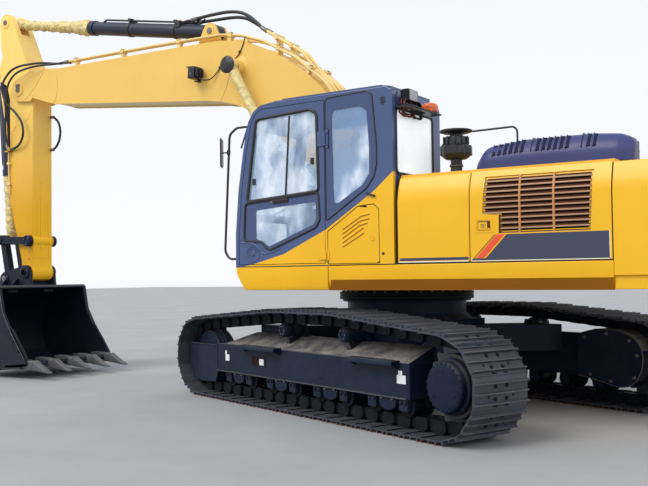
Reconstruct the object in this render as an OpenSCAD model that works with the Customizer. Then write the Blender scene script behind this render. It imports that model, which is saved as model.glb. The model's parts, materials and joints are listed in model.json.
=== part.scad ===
// Crawler excavator, 33 t class. Millimetres. X forward, Y left, Z up.
// Origin: on the slewing axis, at the ground under the tracks.
// The upper works lie along the axes; the tracks are turned by travel_angle under them.

/* [Tracks] */
// Angle of the undercarriage under the upper works, to the right
travel_angle = 21; // [0:1:24]
// Half distance from idler axle to sprocket axle
track_half = 2030; // [1990:5:2060]
// Half of the track gauge
gauge_half = 1295; // [1270:5:1320]
// Width of a track shoe
shoe_w = 600; // [560:10:640]
// Height of the idler and sprocket axles, and radius to the grouser tips
tip_r = 450; // [445:1:456]
// Number of shoes in one loop
shoe_count = 48; // [46:1:50]
// Height of the carrier roller axles
carrier_z = 795; // [785:1:800]

/* [Upper works] */
// Half width of the upper works
half_w = 1490; // [1480:1:1500]
// Underside of the deck plate
deck_z = 1215; // [1210:1:1220]
// Radius of the counterweight round the slewing axis
tail_r = 3300; // [3200:10:3350]
// Top of the side panels
panel_z = 2235; // [2225:1:2240]
// how far the left doors' upper part leans in at its top, mm
lean_in = 60; // [40:1:70]

/* [Cab] */
// Right side of the cab
cab_y0 = 500; // [490:1:510]
// Underside of the cab
cab_z0 = 1443; // [1442:1:1446]
// Thickness of the cab walls and of its door
cab_wall = 45; // [40:1:48]

/* [Boom and arm] */
// Half width of the boom box
boom_hw = 220; // [205:1:225]
// Half width of the arm
arm_hw = 165; // [150:1:168]
// Half width of the bucket
bucket_hw = 750; // [700:5:780]
// Radius of the main pins
pin_r = 45; // [38:1:48]

/* [Hidden] */
$fn = 48;

yellow = [0.96, 0.69, 0.10];
navy = [0.13, 0.16, 0.25];
steel = [0.42, 0.41, 0.40];
black = [0.07, 0.07, 0.08];
glass_c = [0.60, 0.72, 0.78, 0.4];
cream = [0.93, 0.80, 0.38];

slew_u = 137;                    // slewing axis ahead of the middle of the tracks
chain_pin_r = tip_r - 96;        // radius of the chain pins at idler and sprocket
pin_line_h = 58;                 // rail below and shoe above the line of chain pins
carrier_u = [450, -570];         // carrier rollers along the track
carrier_r = 74;
roller_r = 86;
roller_z = 38 + 57 + pin_line_h + roller_r + 1;
roller_u = [for (i = [0:7]) -1470 + i * 420];
beam_hw = 170;                   // half width of a track frame beam

// pins of the linkage in the plane of the boom: [x, z]
foot = [120, 2000];              // boom foot
nose = [6180, 4100];             // boom to arm
lift_lo = [700, 1420];           // boom cylinder on the frame
lift_hi = [2110, 3860];          // boom cylinder on the boom
crowd_lo = [2660, 4425];         // arm cylinder on the boom
tail = [6540, 5150];             // arm cylinder on the arm
curl_hi = [6790, 4400];          // bucket cylinder on the arm
tip_link = [5990, 1900];         // tipping link on the arm
elbow = [6610, 1930];            // tipping link to bucket link
tip = [6035, 1450];              // arm to bucket
heel = [6480, 1360];             // bucket link to bucket

// ---------- helpers ----------
// places the undercarriage, whose own axes are u forward, v left
module under() rotate([0, 0, -travel_angle]) translate([-slew_u, 0, 0]) children();
// plate with an outline in x and z, from y0 to y1
module slab(pts, y0, y1) translate([0, y1, 0]) rotate([90, 0, 0]) linear_extrude(y1 - y0) polygon(pts);
// bar with a section in y and z, from x0 to x1
module bar(pts, x0, x1) translate([x0, 0, 0]) rotate([90, 0, 90]) linear_extrude(x1 - x0) polygon(pts);
// box from one corner to the other
module box(a, b) translate(a) cube(b - a);
// round bar across, at p = [x, z]
module cross(p, r, y0, y1) translate([p.x, y1, p.y]) rotate([90, 0, 0]) cylinder(r = r, h = y1 - y0);
// round bar along the line from p to q in x and z, between the distances a and b
module along(p, q, y, r, a, b) {
    d = atan2(q.y - p.y, q.x - p.x);
    translate([p.x, y, p.y]) rotate([0, 90 - d, 0]) translate([0, 0, a]) cylinder(r = r, h = b - a);
}
// bent bar in an upright plane through [x, z] points, r to each side of its line, from y - r to y + r
function unit(v) = v / norm(v);
function miter(p, i) = let (a = unit(p[min(i + 1, len(p) - 1)] - p[max(min(i, len(p) - 2), 0)]), b = unit(p[max(i, 1)] - p[max(i, 1) - 1]),
    m = unit([-(a.y + b.y), a.x + b.x])) m / max(0.5, m * [-b.y, b.x]);
module bent(p, y, r) slab([for (i = [0:len(p) - 1]) p[i] + r * miter(p, i), for (i = [len(p) - 1:-1:0]) p[i] - r * miter(p, i)], y - r, y + r);
module both() { children(); mirror([0, 1, 0]) children(); }
// round tube of 10 sides along 3D points that lie near an upright plane
module swept(p, r) {
    function dir(i) = unit(p[min(i + 1, len(p) - 1)] - p[max(i - 1, 0)]);
    function ring(i) = let (t = dir(i), a = unit(cross([0, 1, 0], t)), b = cross(t, a)) [for (k = [0:9]) p[i] + r * (cos(k * 36) * a + sin(k * 36) * b)];
    polyhedron([for (i = [0:len(p) - 1]) each ring(i)], [
        [for (k = [0:9]) k], [for (k = [9:-1:0]) (len(p) - 1) * 10 + k],
        for (i = [0:len(p) - 2], k = [0:9]) each [[i * 10 + k, (i + 1) * 10 + k, (i + 1) * 10 + (k + 1) % 10], [i * 10 + k, (i + 1) * 10 + (k + 1) % 10, i * 10 + (k + 1) % 10]]]);
}

// ---------- the line of chain pins ----------
// circles that the line wraps, counter-clockwise from the sprocket: [u, z, radius]
wraps = [[-track_half, tip_r, chain_pin_r], [track_half, tip_r, chain_pin_r],
    [carrier_u[0], carrier_z, carrier_r + pin_line_h], [carrier_u[1], carrier_z, carrier_r + pin_line_h]];
function nx(i) = (i + 1) % 4;
function span(i) = norm([wraps[nx(i)][0] - wraps[i][0], wraps[nx(i)][1] - wraps[i][1]]);
function run_a(i) = let (a = atan2(wraps[nx(i)][1] - wraps[i][1], wraps[nx(i)][0] - wraps[i][0]))
    (a < -1 ? a + 360 : a) + asin((wraps[i][2] - wraps[nx(i)][2]) / span(i));
function run_l(i) = sqrt(pow(span(i), 2) - pow(wraps[i][2] - wraps[nx(i)][2], 2));
function turn(i) = (run_a(i) - run_a((i + 3) % 4) + 720) % 360;
function arc_l(i) = wraps[i][2] * turn(i) * PI / 180;
// eight stretches: run 0, arc 1, run 1, arc 2, run 2, arc 3, run 3, arc 0
stretch = [for (i = [0:3]) each [run_l(i), arc_l(nx(i))]];
function upto(k) = k <= 0 ? 0 : stretch[k - 1] + upto(k - 1);
loop_l = upto(8);
function out(a) = [sin(a), -cos(a)];
function fwd(a) = [cos(a), sin(a)];
function at(s, h, k = 0) = s > stretch[k] && k < 7 ? at(s - stretch[k], h, k + 1) :
    let (i = floor(k / 2), w = wraps[k % 2 == 0 ? i : nx(i)], a = run_a(i))
    k % 2 == 0 ? [w[0], w[1]] + (w[2] + h) * out(a) + s * fwd(a)
    : [w[0], w[1]] + (w[2] + h) * out(a + s / w[2] * 180 / PI);
function line_at(h) = [for (k = [0:shoe_count - 1]) at(k * loop_l / shoe_count, h)];
// section of one shoe: [along the chain, height over the pins]; three grousers
shoe = [[3, 57], [3, 68], [12, 68], [17, 96], [29, 96], [34, 68], [94, 68], [98, 90], [110, 90], [114, 68], [174, 68], [179, 96], [191, 96], [196, 68], [213, 68], [213, 57]];
shoe_line = [for (k = [0:shoe_count - 1]) let (p = at(k * loop_l / shoe_count, 0), q = at(((k + 1) % shoe_count) * loop_l / shoe_count, 0),
    n = norm(q - p), e = (q - p) / n) for (t = shoe) p + t[0] * n / 216 * e + t[1] * [e.y, -e.x]];

module track_loop(side) color(steel) under() translate([0, side * gauge_half, 0]) {
    translate([0, shoe_w / 2, 0]) rotate([90, 0, 0]) linear_extrude(shoe_w) difference() { polygon(shoe_line); polygon(line_at(50)); }
    for (y = [-50, 95]) translate([0, y, 0]) rotate([90, 0, 0]) linear_extrude(45) difference() { polygon(line_at(55)); polygon(line_at(-pin_line_h)); }
}
module track_left() track_loop(1);
module track_right() track_loop(-1);

// ---------- undercarriage ----------
module carbody() color(navy) under() difference() {
    union() {
        box([slew_u - 620, -560, 500], [slew_u + 620, 560, 880]);
        translate([slew_u, 0, 880]) cylinder(r1 = 700, r2 = 640, h = 60);
        translate([slew_u, 0, 940]) cylinder(r = 640, h = 130);
        both() for (s = [-1, 1])
            translate([0, 0, 530]) linear_extrude(280) polygon([[slew_u + s * 160, 300], [slew_u + s * 600, 300], [slew_u + s * 1180, gauge_half - beam_hw], [slew_u + s * 760, gauge_half - beam_hw]]);
        box([slew_u + 600, -130, 520], [slew_u + 800, 130, 560]);
    }
    translate([slew_u + 730, 0, 500]) cylinder(r = 32, h = 100);
}
module slew_ring() color(navy) under() translate([slew_u, 0, 0]) difference() {
    union() { translate([0, 0, 1070]) cylinder(r = 690, h = 20); translate([0, 0, 1090]) cylinder(r = 600, h = 50); }
    translate([0, 0, 1000]) cylinder(r = 520, h = 200);
}
module track_frame(side) color(navy) under() translate([0, side * gauge_half, 0]) {
    bar([[-beam_hw, 295], [-150, 295], [-150, 330], [-126, 330], [-126, 347], [126, 347], [126, 330], [150, 330], [150, 295], [beam_hw, 295], [beam_hw, 600], [-beam_hw, 600]], -1560, 1560);
    mirror([0, side > 0 ? 0 : 1, 0]) {
        // top that slopes outward, its front end cut on the skew
        intersection() {
            bar([[beam_hw, 600], [beam_hw, 599], [-beam_hw, 599], [-beam_hw, 730], [-120, 730]], -1560, 1560);
            linear_extrude(900) polygon([[-1600, -200], [-1600, 200], [1580, 200], [1250, -200]]);
        }
        // rear horn and guard of the drive motor, on the inner side
        difference() {
            slab([[-1366, 310], [-1500, 296], [-1690, 262], [-1800, 236], [-1930, 240], [-2030, 290], [-2090, 370], [-2124, 470], [-2118, 600], [-2060, 690], [-1985, 740], [-1900, 775], [-1820, 788], [-1573, 788], [-1430, 752], [-1366, 720]], -330, -125);
            cross([-track_half, tip_r], 150.5, -321, 0);
        }
    }
    // cover plates beside the idler
    both() slab([[1540, 295], [1540, 600], [1740, 600], [1760, 582], [2340, 580], [2365, 555], [2365, 330], [2250, 190], [2100, 150], [1760, 165], [1700, 295]], 149, beam_hw);
    // idler yoke and axle
    both() slab([[1500, 340], [1960, 375], [2100, 390], [2110, 510], [1960, 525], [1500, 590]], 112, 150);
    cross([track_half, tip_r], 45, -150, 150);
    // bottom rollers' brackets and axles
    for (u = roller_u) { both() box([u - 55, 127, 195], [u + 55, 160, 332]); cross([u, roller_z], 32, -130, 130); }
    // carrier brackets and axles
    for (u = carrier_u) { mirror([0, side > 0 ? 0 : 1, 0]) { box([u - 50, -160, 560], [u + 50, -108, 845]); cross([u, carrier_z], 30, -120, 100); } }
}
module track_frame_left() track_frame(1);
module track_frame_right() track_frame(-1);
module idlers() color(navy) under() for (s = [-1, 1]) translate([0, s * gauge_half, 0]) difference() {
    union() { cross([track_half, tip_r], (chain_pin_r - pin_line_h) * cos(180 / 10.2) - 3, -104, 104); cross([track_half, tip_r], 335, -42, 42); }
    cross([track_half, tip_r], 45.3, -200, 200);
}
// toothed rim: every second tooth gap takes a chain pin
module sprockets() color(steel) under() for (s = [-1, 1]) translate([-track_half, s * gauge_half, tip_r]) rotate([90, 0, 0])
    translate([0, 0, -28]) linear_extrude(56) difference() {
        polygon([for (i = [0:20]) each [[(chain_pin_r - 38) * cos(i * 360 / 21), (chain_pin_r - 38) * sin(i * 360 / 21)],
            [(chain_pin_r + 8) * cos((i + 0.38) * 360 / 21), (chain_pin_r + 8) * sin((i + 0.38) * 360 / 21)],
            [(chain_pin_r + 8) * cos((i + 0.62) * 360 / 21), (chain_pin_r + 8) * sin((i + 0.62) * 360 / 21)]]]);
        circle(r = 230.3);
    }
module final_drives() color(navy) under() for (s = [-1, 1]) translate([0, s * gauge_half, 0]) mirror([0, s > 0 ? 0 : 1, 0]) {
    cross([-track_half, tip_r], 205, 150, 230);
    cross([-track_half, tip_r], 230, -60, 150);
    cross([-track_half, tip_r], 265, 32, 110);
    cross([-track_half, tip_r], 150, -320, -60);
}
module track_rollers() color(navy) under() for (s = [-1, 1], u = roller_u) translate([0, s * gauge_half, 0]) difference() {
    union() { cross([u, roller_z], roller_r, -118, 118); both() cross([u, roller_z], 102, 99, 117); }
    cross([u, roller_z], 32.3, -200, 200);
}
module carrier_rollers() color(navy) under() for (s = [-1, 1], u = carrier_u) translate([0, s * gauge_half, 0]) mirror([0, s > 0 ? 0 : 1, 0]) difference() {
    union() { cross([u, carrier_z], carrier_r - 7, -100, 112); cross([u, carrier_z], 60, 112, 124); }
    cross([u, carrier_z], 30.3, -130, 101);
}
// two steps on the outside of each track frame: [rear end, front end]
module track_steps() color(navy) under() for (s = [-1, 1], w = [[-1450, -800], [390, 1100]]) translate([0, s * gauge_half, 0]) mirror([0, s > 0 ? 0 : 1, 0])
    bar([[beam_hw, 540], [beam_hw + 14, 540], [beam_hw + 100, 556], [beam_hw + 100, 622], [beam_hw, 622]], w[0], w[1]);

// ---------- upper works ----------
module swing_bearing() color(steel) difference() {
    union() { translate([0, 0, 1093]) cylinder(r = 725, h = 77); translate([0, 0, 1170]) cylinder(r = 660, h = deck_z - 1170); }
    translate([0, 0, 1000]) cylinder(r = 606, h = 300);
}
lean_right = 0.62;
deck_top = deck_z + 25;
module deck_plate() color(yellow)
    translate([0, 0, deck_z]) linear_extrude(25) polygon([[-2640, -1440], [1360, -1440], [1360, -640], [960, -460], [960, 460], [1040, 520], [1040, 1440], [-2640, 1440]]);
// rails under the cab, the tanks and the covers: [x0, x1, y0, y1, top]
module deck_rails() color(yellow) for (r = [[-640, 1040, 520, 590, cab_z0], [-640, 1040, 1370, 1439, cab_z0], [-2600, 1340, -1439, -1370, 1441], [-1180, 1340, -760, -690, 1441], [-2600, -700, 1370, 1439, 1441]])
    box([r[0], r[2], deck_top], [r[1], r[3], r[4]]);
// upright plates that carry the boom, with the ears of its cylinders
module main_frame() color(yellow) {
    union() {
        both() slab([[-2600, deck_top], [900, deck_top], [900, 1480], [640, 1600], [440, 1730], [300, 1980], [235, 2100], [120, 2140], [5, 2100], [-60, 1950], [-420, 1560], [-1000, 1440], [-2600, 1440]], 258, 290);
        // outer ears of the boom cylinders, with their gussets
        both() slab([[540, deck_top], [840, deck_top], [790, 1440], [745, 1505], [655, 1505], [590, 1450]], 448, 478);
        both() cross(foot, 95, 258, 318);
        cross(foot, 50, -330, 330);
        both() cross(lift_lo, 45, 270, 490);
        // cross members
        for (x = [-2300, -1300, -300, 860]) box([x, -258, deck_top], [x + 30, 258, 1430]);
    }
}
// side channels, the left one in two lengths
module side_skirts() color(yellow) {
    c = [[1440, 1240], [1440, deck_z], [1464, deck_z - 6], [half_w, 1308], [half_w, 1441], [1440, 1441]];
    bar(c, -2638, 44);
    difference() {
        bar([[1440, 1240], [1440, deck_z], [1474, deck_z - 6], [half_w, 1250], [half_w, 1441], [1440, 1441]], 52, 1166);
        slab([[1170, 1395], [1045, 1195], [1200, 1195], [1200, 1395]], 1400, 1600);
    }
    mirror([0, 1, 0]) bar(c, -2638, 1372);
}
module counterweight() color(yellow) difference() {
    union() {
        translate([0, 0, 1212]) linear_extrude(110) intersection() { circle(r = tail_r - 45, $fn = 128); translate([-3400, -half_w + 22]) square([760, 2 * half_w - 44]); }
        translate([0, 0, 1322]) linear_extrude(840) intersection() { circle(r = tail_r, $fn = 128); translate([-3400, -half_w]) square([760, 2 * half_w]); }
        translate([0, 0, 2162]) linear_extrude(70) intersection() { circle(r = tail_r - 35, $fn = 128); translate([-3400, -half_w + 18]) square([760, 2 * half_w - 36]); }
    }
    outside_lean(1, 0, -3400, -2600);
    mirror([0, 1, 0]) outside_lean(lean_right, 0, -3400, -2600);
    // recess for the tow pin at the back, with its pin hole
    box([-3400, -110, 1380], [-3190, 110, 1500]);
}
module house_frame() color(yellow) difference() {
    union() {
        // left posts, sill and rail: [x0, x1]
        for (p = [[-762, -702], [-1450, -1392], [-2638, -2580]]) box([p[0], 1385, 1441], [p[1], 1453, panel_z]);
        box([-2638, 1385, 1441], [-702, 1453, 1470]);
        box([-2638, 1320, 2180], [-702, 1453, panel_z]);
        // wall behind the cab, and inner walls
        box([-722, 330, 1441], [-702, 1453, panel_z]);
        box([-2638, 330, 1441], [-702, 350, panel_z]);
        // right side
        for (p = [[-1262, -1202], [-2638, -2580]]) box([p[0], -1453, 1441], [p[1], -1385, panel_z]);
        box([-2638, -1453, 1441], [-1202, -1385, 1470]);
        box([-2638, -1453, 2180], [-1202, -1345, panel_z]);
        box([-1222, -1453, 1441], [-1202, -350, panel_z]);
        box([-1222, -350, 1441], [-1202, 350, panel_z]);
        // rear bulkhead and top
        box([-2640, -1453, 1441], [-2620, 1453, panel_z]);
        box([-2640, -half_w + 4 + lean_in * lean_right, panel_z], [-702, half_w - 4 - lean_in, 2260]);
    }
    outside_lean(1, 37, -2700, -690);
    mirror([0, 1, 0]) outside_lean(lean_right, 37, -2700, -1190);
    // opening under the hood
    box([-2560, -780, 2100], [-1400, 1160, 2300]);
    box([-1202, -2000, 2100], [-700, 328, 2300]);
}
module engine_block() color(steel) box([-2500, -620, 1440], [-1620, 320, 2090]);
module cooler_pack() color(black) box([-2500, 700, deck_top], [-1500, 1330, 2150]);
module swing_motor() color(navy) { translate([-560, 0, 1240]) cylinder(r = 190, h = 330); translate([-560, 0, 1570]) cylinder(r = 120, h = 240); }
module control_valve() color(steel) box([-1180, -240, deck_top], [-820, 240, 1800]);
// tanks: outline in y and z with chamfered top outer edge
tank = concat([[-640, 1441], [-half_w, 1441]], [for (p = lean(lean_right)) [-half_w + p.x, p.y]], [[-half_w + 45, 2262], [-640, 2262]]);
module fuel_tank() color(yellow) difference() {
    union() { bar(tank, -372, 596); translate([250, -1180, 2260]) cylinder(r = 75, h = 40); }
    translate([250, -1180, 2200]) cylinder(r = 50, h = 120);
}
module hydraulic_tank() color(yellow) { bar(tank, -1196, -380); for (x = [-980, -640]) translate([x, -1050, 2258]) cylinder(r = 110, h = 22); }
module tool_box() color(yellow) difference() {
    box([604, -half_w, 1441], [1372, -700, 1940]);
    box([640, -half_w + 30, 1480], [1342, -730, 2000]);
}
module tool_box_lid() color(black) box([612, -half_w + 4, 1944], [1376, -704, 1968]);

// ---------- cab ----------
cab_out = [[1166, cab_z0], [1163, 1781], [1127, 2210], [1058, 2636], [992, 2916], [935, 3005], [850, 3055], [720, 3072], [-600, 3072], [-650, 3040], [-671, 2980], [-671, cab_z0]];
cab_in = [[1108, 1500], [1106, 1781], [1070, 2203], [1002, 2625], [938, 2895], [890, 2958], [820, 2998], [700, 3012], [-590, 3012], [-616, 2980], [-616, 1500]];
door_gap = [[1124, 1464], [1121, 1781], [1087, 2208], [1020, 2630], [962, 2886], [922, 2964], [838, 3030], [72, 3036], [72, 1464]];
door_out = [[1118, 1470], [1115, 1781], [1081, 2207], [1014, 2629], [956, 2883], [917, 2959], [835, 3024], [78, 3030], [78, 1470]];
// windows of the left side
door_up = [[885, 2905], [843, 2920], [243, 2950], [190, 2925], [170, 2880], [156, 2171], [1001, 2110], [990, 2200]];
door_low = [[1029, 2075], [156, 2138], [143, 1890], [185, 1821], [720, 1622], [760, 1632], [835, 1700], [1046, 1720]];
side_win = [[10, 2965], [-350, 2970], [-418, 2905], [-450, 2540], [-448, 2370], [-420, 2262], [-350, 2180], [10, 1950]];
right_win = [[950, 2880], [900, 2930], [-360, 2950], [-430, 2900], [-450, 2370], [-350, 2180], [0, 1960], [200, 1900], [1010, 1900], [1030, 2200]];
filter = [[50, 1772], [-290, 1996], [-464, 2009], [-518, 1961], [-522, 1455], [50, 1455]];
module cab_body() color(navy) difference() {
    slab(cab_out, cab_y0, half_w);
    slab(cab_in, cab_y0 + cab_wall, half_w - cab_wall);
    slab(door_gap, half_w - cab_wall - 1, half_w + 1);
    slab(side_win, half_w - cab_wall - 1, half_w + 1);
    slab(filter, half_w - 34, half_w + 1);
    slab(right_win, cab_y0 - 1, cab_y0 + cab_wall + 1);
    // windscreen, lower front pane, rear window, hatch
    box([900, 590, 1990], [1300, 1400, 2860]);
    box([900, 590, 1580], [1300, 1400, 1930]);
    box([-700, 680, 2290], [-600, 1420, 2880]);
    box([-250, 700, 3000], [450, 1290, 3090]);
}
module cab_roof() color(navy) difference() {
    translate([0, 0, 3072]) union() {
        linear_extrude(34) polygon([[-560, 530], [-600, 570], [-600, 1390], [-560, 1430], [700, 1430], [780, 1390], [780, 570], [700, 530]]);
        translate([0, 0, 34]) linear_extrude(22) polygon([[-500, 580], [-500, 1380], [640, 1380], [640, 580]]);
    }
    for (x = [-330, 470], y = [640, 1320]) translate([x, y, 3050]) cylinder(r = 7, h = 100);
}
// panes fill their openings; the windscreen leans with the pillars
module cab_glass() color(glass_c) {
    slab(side_win, half_w - 12, half_w - 5);
    slab(right_win, cab_y0 + 5, cab_y0 + 12);
    difference() {
        slab([[1148, 1940], [1127, 2210], [1058, 2636], [1000, 2885], [992, 2885], [1050, 2636], [1119, 2210], [1140, 1940]], 590, 1400);
        box([900, 500, 1900], [1300, 1500, 1990]);
        box([900, 500, 2860], [1300, 1500, 2900]);
    }
    box([1150, 590, 1580], [1157, 1400, 1930]);
    box([-666, 680, 2290], [-659, 1420, 2880]);
}
module operator_seat() color(black) {
    box([-160, 760, 1500], [260, 1180, 1760]);
    slab([[-250, 1760], [300, 1760], [300, 1900], [-90, 1880], [-290, 2560], [-400, 2560], [-260, 1880]], 730, 1210);
    slab([[-310, 2560], [-385, 2560], [-420, 2760], [-340, 2760]], 840, 1100);
}
module cab_controls() color(black) {
    for (y = [[590, 700], [1240, 1350]]) { box([-160, y[0], 1500], [330, y[1], 1990]); translate([260, (y[0] + y[1]) / 2, 1990]) cylinder(r = 16, h = 190); translate([260, (y[0] + y[1]) / 2, 2180]) sphere(r = 34); }
    for (y = [880, 1020]) { box([700, y - 50, 1500], [900, y + 50, 1530]); bent([[720, 1529], [640, 1800], [600, 2050]], y, 12); }
    box([820, 590, 1500], [880, 640, 2100]);
    box([790, 575, 2100], [830, 745, 2330]);
}
module cab_door() color(navy) difference() {
    union() {
        slab(door_out, half_w - cab_wall, half_w);
        // hinge leaves and knuckles on the door: [lower, upper] height
        for (z = [[1500, 1580], [2590, 2730]]) { box([78, half_w - 1, z[0]], [150, half_w + 12, z[1]]); box([70, half_w + 3, z[0]], [80, half_w + 12, z[1]]); translate([66, half_w + 16, z[0]]) cylinder(r = 14, h = z[1] - z[0]); }
    }
    slab(door_up, half_w - cab_wall - 1, half_w + 1);
    slab(door_low, half_w - cab_wall - 1, half_w + 1);
}
module cab_door_glass() color(glass_c) { slab(door_up, half_w - 14, half_w - 7); slab(door_low, half_w - 14, half_w - 7); }
module filter_door() color(yellow) slab([[44, 1766], [-290, 1988], [-462, 2002], [-512, 1957], [-516, 1461], [44, 1461]], half_w - 28, half_w);

// ---------- moving covers ----------
module engine_hood() color(navy) difference() {
    bar_hood(0);
    bar_hood(18);
}
// hood outline in x and z, with the sides drawn in at the top; t insets it for the inside
module bar_hood(t) intersection() {
    slab([[-1335 - t, 2266 - (t > 0 ? 1 : 0)], [-1345 - t, 2330], [-1440 - t, 2490 - t], [-1800, 2528 - t], [-2390, 2526 - t], [-2620, 2504 - t], [-2735 + t, 2460 - t], [-2735 + t, 2266 - (t > 0 ? 1 : 0)]], -860 + t, 1225 - t);
    bar([[-860 + t, 2260], [1225 - t, 2260], [1225 - t, 2400], [1140 - t, 2530 - t], [-780 + t, 2530 - t], [-860 + t, 2400]], -2800, -1300);
}
// side panels whose upper part leans in: k is the lean's share (1 on the left)
function lean(k) = [[0, 2000], [14 * k, 2090], [lean_in * k, panel_z]];
function door_section(k) = concat([[half_w - 32, 1452], [half_w, 1452]], [for (p = lean(k)) [half_w - p.x, p.y]], [for (i = [2:-1:0]) [half_w - 32 - lean(k)[i].x, lean(k)[i].y]]);
// what lies outside the leaning line, gap g inside it, from x0 to x1
module outside_lean(k, g, x0, x1) bar(concat([[half_w + 20, 2000]], [for (p = lean(k)) [half_w - g - p.x, p.y]], [[half_w - g - lean_in * k, 2300], [half_w + 20, 2300]]), x0, x1);
module side_door_front() color(yellow) bar(door_section(1), -1414, -706);
grille = [[-1553, 2181], [-2489, 2181], [-2464, 1689], [-1681, 1689], [-1684, 1845], [-1535, 1862]];
module side_door_rear() color(yellow) difference() {
    bar(door_section(1), -2632, -1420);
    // sunk field of the grille follows the lean
    intersection() {
        slab(grille, half_w - 80, half_w + 1);
        bar(concat([[half_w + 2, 1600], [half_w + 2, 2240]], [for (i = [2:-1:0]) [half_w - 14 - lean(1)[i].x, lean(1)[i].y]], [[half_w - 14, 1600]]), -2632, -1420);
    }
    for (i = [0:9], c = [[-1850, -1700], [-2145, -1880], [-2440, -2175]]) box([c[0], half_w - 90, 1712 + i * 46], [c[1], half_w + 1, 1730 + i * 46]);
}
module pump_door() color(yellow) mirror([0, 1, 0]) bar(door_section(lean_right), -2632, -1208);

// ---------- on top ----------
module pre_cleaner() color(black) { translate([-985, 800, 2260]) cylinder(r = 62, h = 180); translate([-985, 800, 2440]) cylinder(r1 = 100, r2 = 150, h = 60); translate([-985, 800, 2500]) cylinder(r = 150, h = 170); translate([-985, 800, 2670]) cylinder(r1 = 165, r2 = 90, h = 60); }
module exhaust_stack() color(steel) difference() {
    union() { translate([-2150, -1150, 2260]) cylinder(r = 85, h = 60); translate([-2150, -1150, 2320]) cylinder(r = 62, h = 420); }
    translate([-2150, -1150, 2400]) cylinder(r = 54, h = 400);
}
module grab_rails() color(black) {
    // at the cab's front pillar
    bent([[1013, 2880], [1180, 2880], [1275, 2820], [1345, 1610], [1290, 1530], [1168, 1530]], 1440, 15);
    // beside the step and the tanks
    bent([[1400, 1460], [1400, 2860], [1300, 2960], [520, 2960], [430, 2880], [430, 2262]], -1420, 16);
    bent([[1372, 1480], [1420, 1480]], -1420, 16);
    bent([[340, 2262], [340, 2790], [190, 2975], [50, 3076], [-710, 3085], [-753, 3040], [-753, 2262]], -1420, 16);
}
module mirrors() color(black) {
    // left: a plate turned towards the seat, on an arm from the rail
    difference() {
        union() { translate([1374, 1450, 2635]) rotate([0, 0, -57]) cube([190, 18, 300], center = true); box([1285, 1438, 2625], [1372, 1452, 2645]); }
        bent([[1013, 2880], [1180, 2880], [1275, 2820], [1345, 1610], [1290, 1530], [1168, 1530]], 1440, 15);
    }
    // right: a plate across, in front of the rail
    box([1416, -1488, 2480], [1436, -1330, 2790]);
}
module beacon() color([0.85, 0.30, 0.08]) {
    box([-835, 790, 2884], [-671, 1450, 2896]);
    translate([-754, 885, 2890]) cylinder(r = 80, h = 112);
    box([-755, 1260, 2890], [-725, 1300, 2960]);
    box([-785, 1190, 2950], [-695, 1370, 3062]);
}

// ---------- boom ----------
boom_side = [[20, 2120], [300, 2640], [936, 3487], [1321, 3812], [1789, 4073], [2115, 4187], [2400, 4235], [2698, 4249], [3542, 4266], [5325, 4298],
    [5380, 4302], [5380, 3800], [2599, 3521], [2250, 3450], [1928, 3300], [215, 1880]];
boom_nose = [[5300, 4297], [5877, 4355], [6080, 4300], [6290, 4230], [6350, 4110], [6300, 3980], [6180, 3930], [5900, 3900], [5416, 3804], [5300, 3790]];
module boom() color(yellow) difference() {
    union() {
        slab(boom_side, -boom_hw, boom_hw);
        both() slab(boom_nose, arm_hw + 12, boom_hw);
        cross(foot, 130, -250, 250);
        both() cross(lift_hi, 95, boom_hw - 5, 322);
        cross(nose, pin_r, -boom_hw - 26, boom_hw + 26);
        both() cross(nose, 95, boom_hw - 1, boom_hw + 16);
        // ears and pin of the arm cylinder
        both() slab([[2480, 4230], [2860, 4245], [2760, 4460], [2715, 4515], [2640, 4525], [2580, 4490]], 76, 108);
        cross(crowd_lo, 40, -124, 124);
    }
    cross(foot, 50.4, -300, 300);
}
// steel pipes along the back of the boom: [y, radius]
pipe_line = [[420, 2880], [900, 3545], [1310, 3890], [1780, 4150], [2110, 4265], [2420, 4320], [3540, 4350], [5170, 4376]];
// pipes that leave the boom's back for the hoses over it
feed_line = [[420, 2880], [900, 3545], [1120, 3740], [1285, 3960], [1600, 4165], [1815, 4301]];
module boom_pipes() color(cream) difference() {
    union() {
        for (y = [-55, 55]) bent(feed_line, y, 19);
        for (k = [[1450, 4067], [1660, 4203]]) box([k[0] - 22, -85, k[1] - 230], [k[0] + 22, 85, k[1] + 26]);
        for (p = [[150, 19], [192, 15], [-150, 19], [-192, 15]]) bent(pipe_line, p[0], p[1]);
        for (k = [[3100, 4240], [4100, 4260], [5000, 4280]], s = [-1, 1]) box([k[0] - 30, s > 0 ? 120 : -212, k[1]], [k[0] + 30, s > 0 ? 212 : -120, k[1] + 90]);
    }
    slab(boom_side, -boom_hw, boom_hw);
}
// hoses that arch from those pipes to the arm cylinder: [x, z], their y goes from 55 to hose_y
hose_y = 50;
arch_left = [[1818, 4303], [1880, 4350], [1960, 4425], [2060, 4510], [2180, 4580], [2310, 4618], [2450, 4636], [2590, 4640], [2730, 4640], [2860, 4636], [2960, 4632], [3000, 4630]];
arch_right = [[1818, 4303], [1890, 4345], [1990, 4410], [2090, 4478], [2200, 4540], [2320, 4575], [2450, 4592], [2590, 4600], [2730, 4606], [2860, 4612], [2960, 4616], [3000, 4616]];
module arch_hose(p, s) color(black) swept([for (i = [0:len(p) - 1]) [p[i].x, s * (55 + (hose_y - 55) * i / (len(p) - 1)), p[i].y]], 21);
module arch_hose_left() arch_hose(arch_left, 1);
module arch_hose_right() arch_hose(arch_right, -1);
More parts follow.
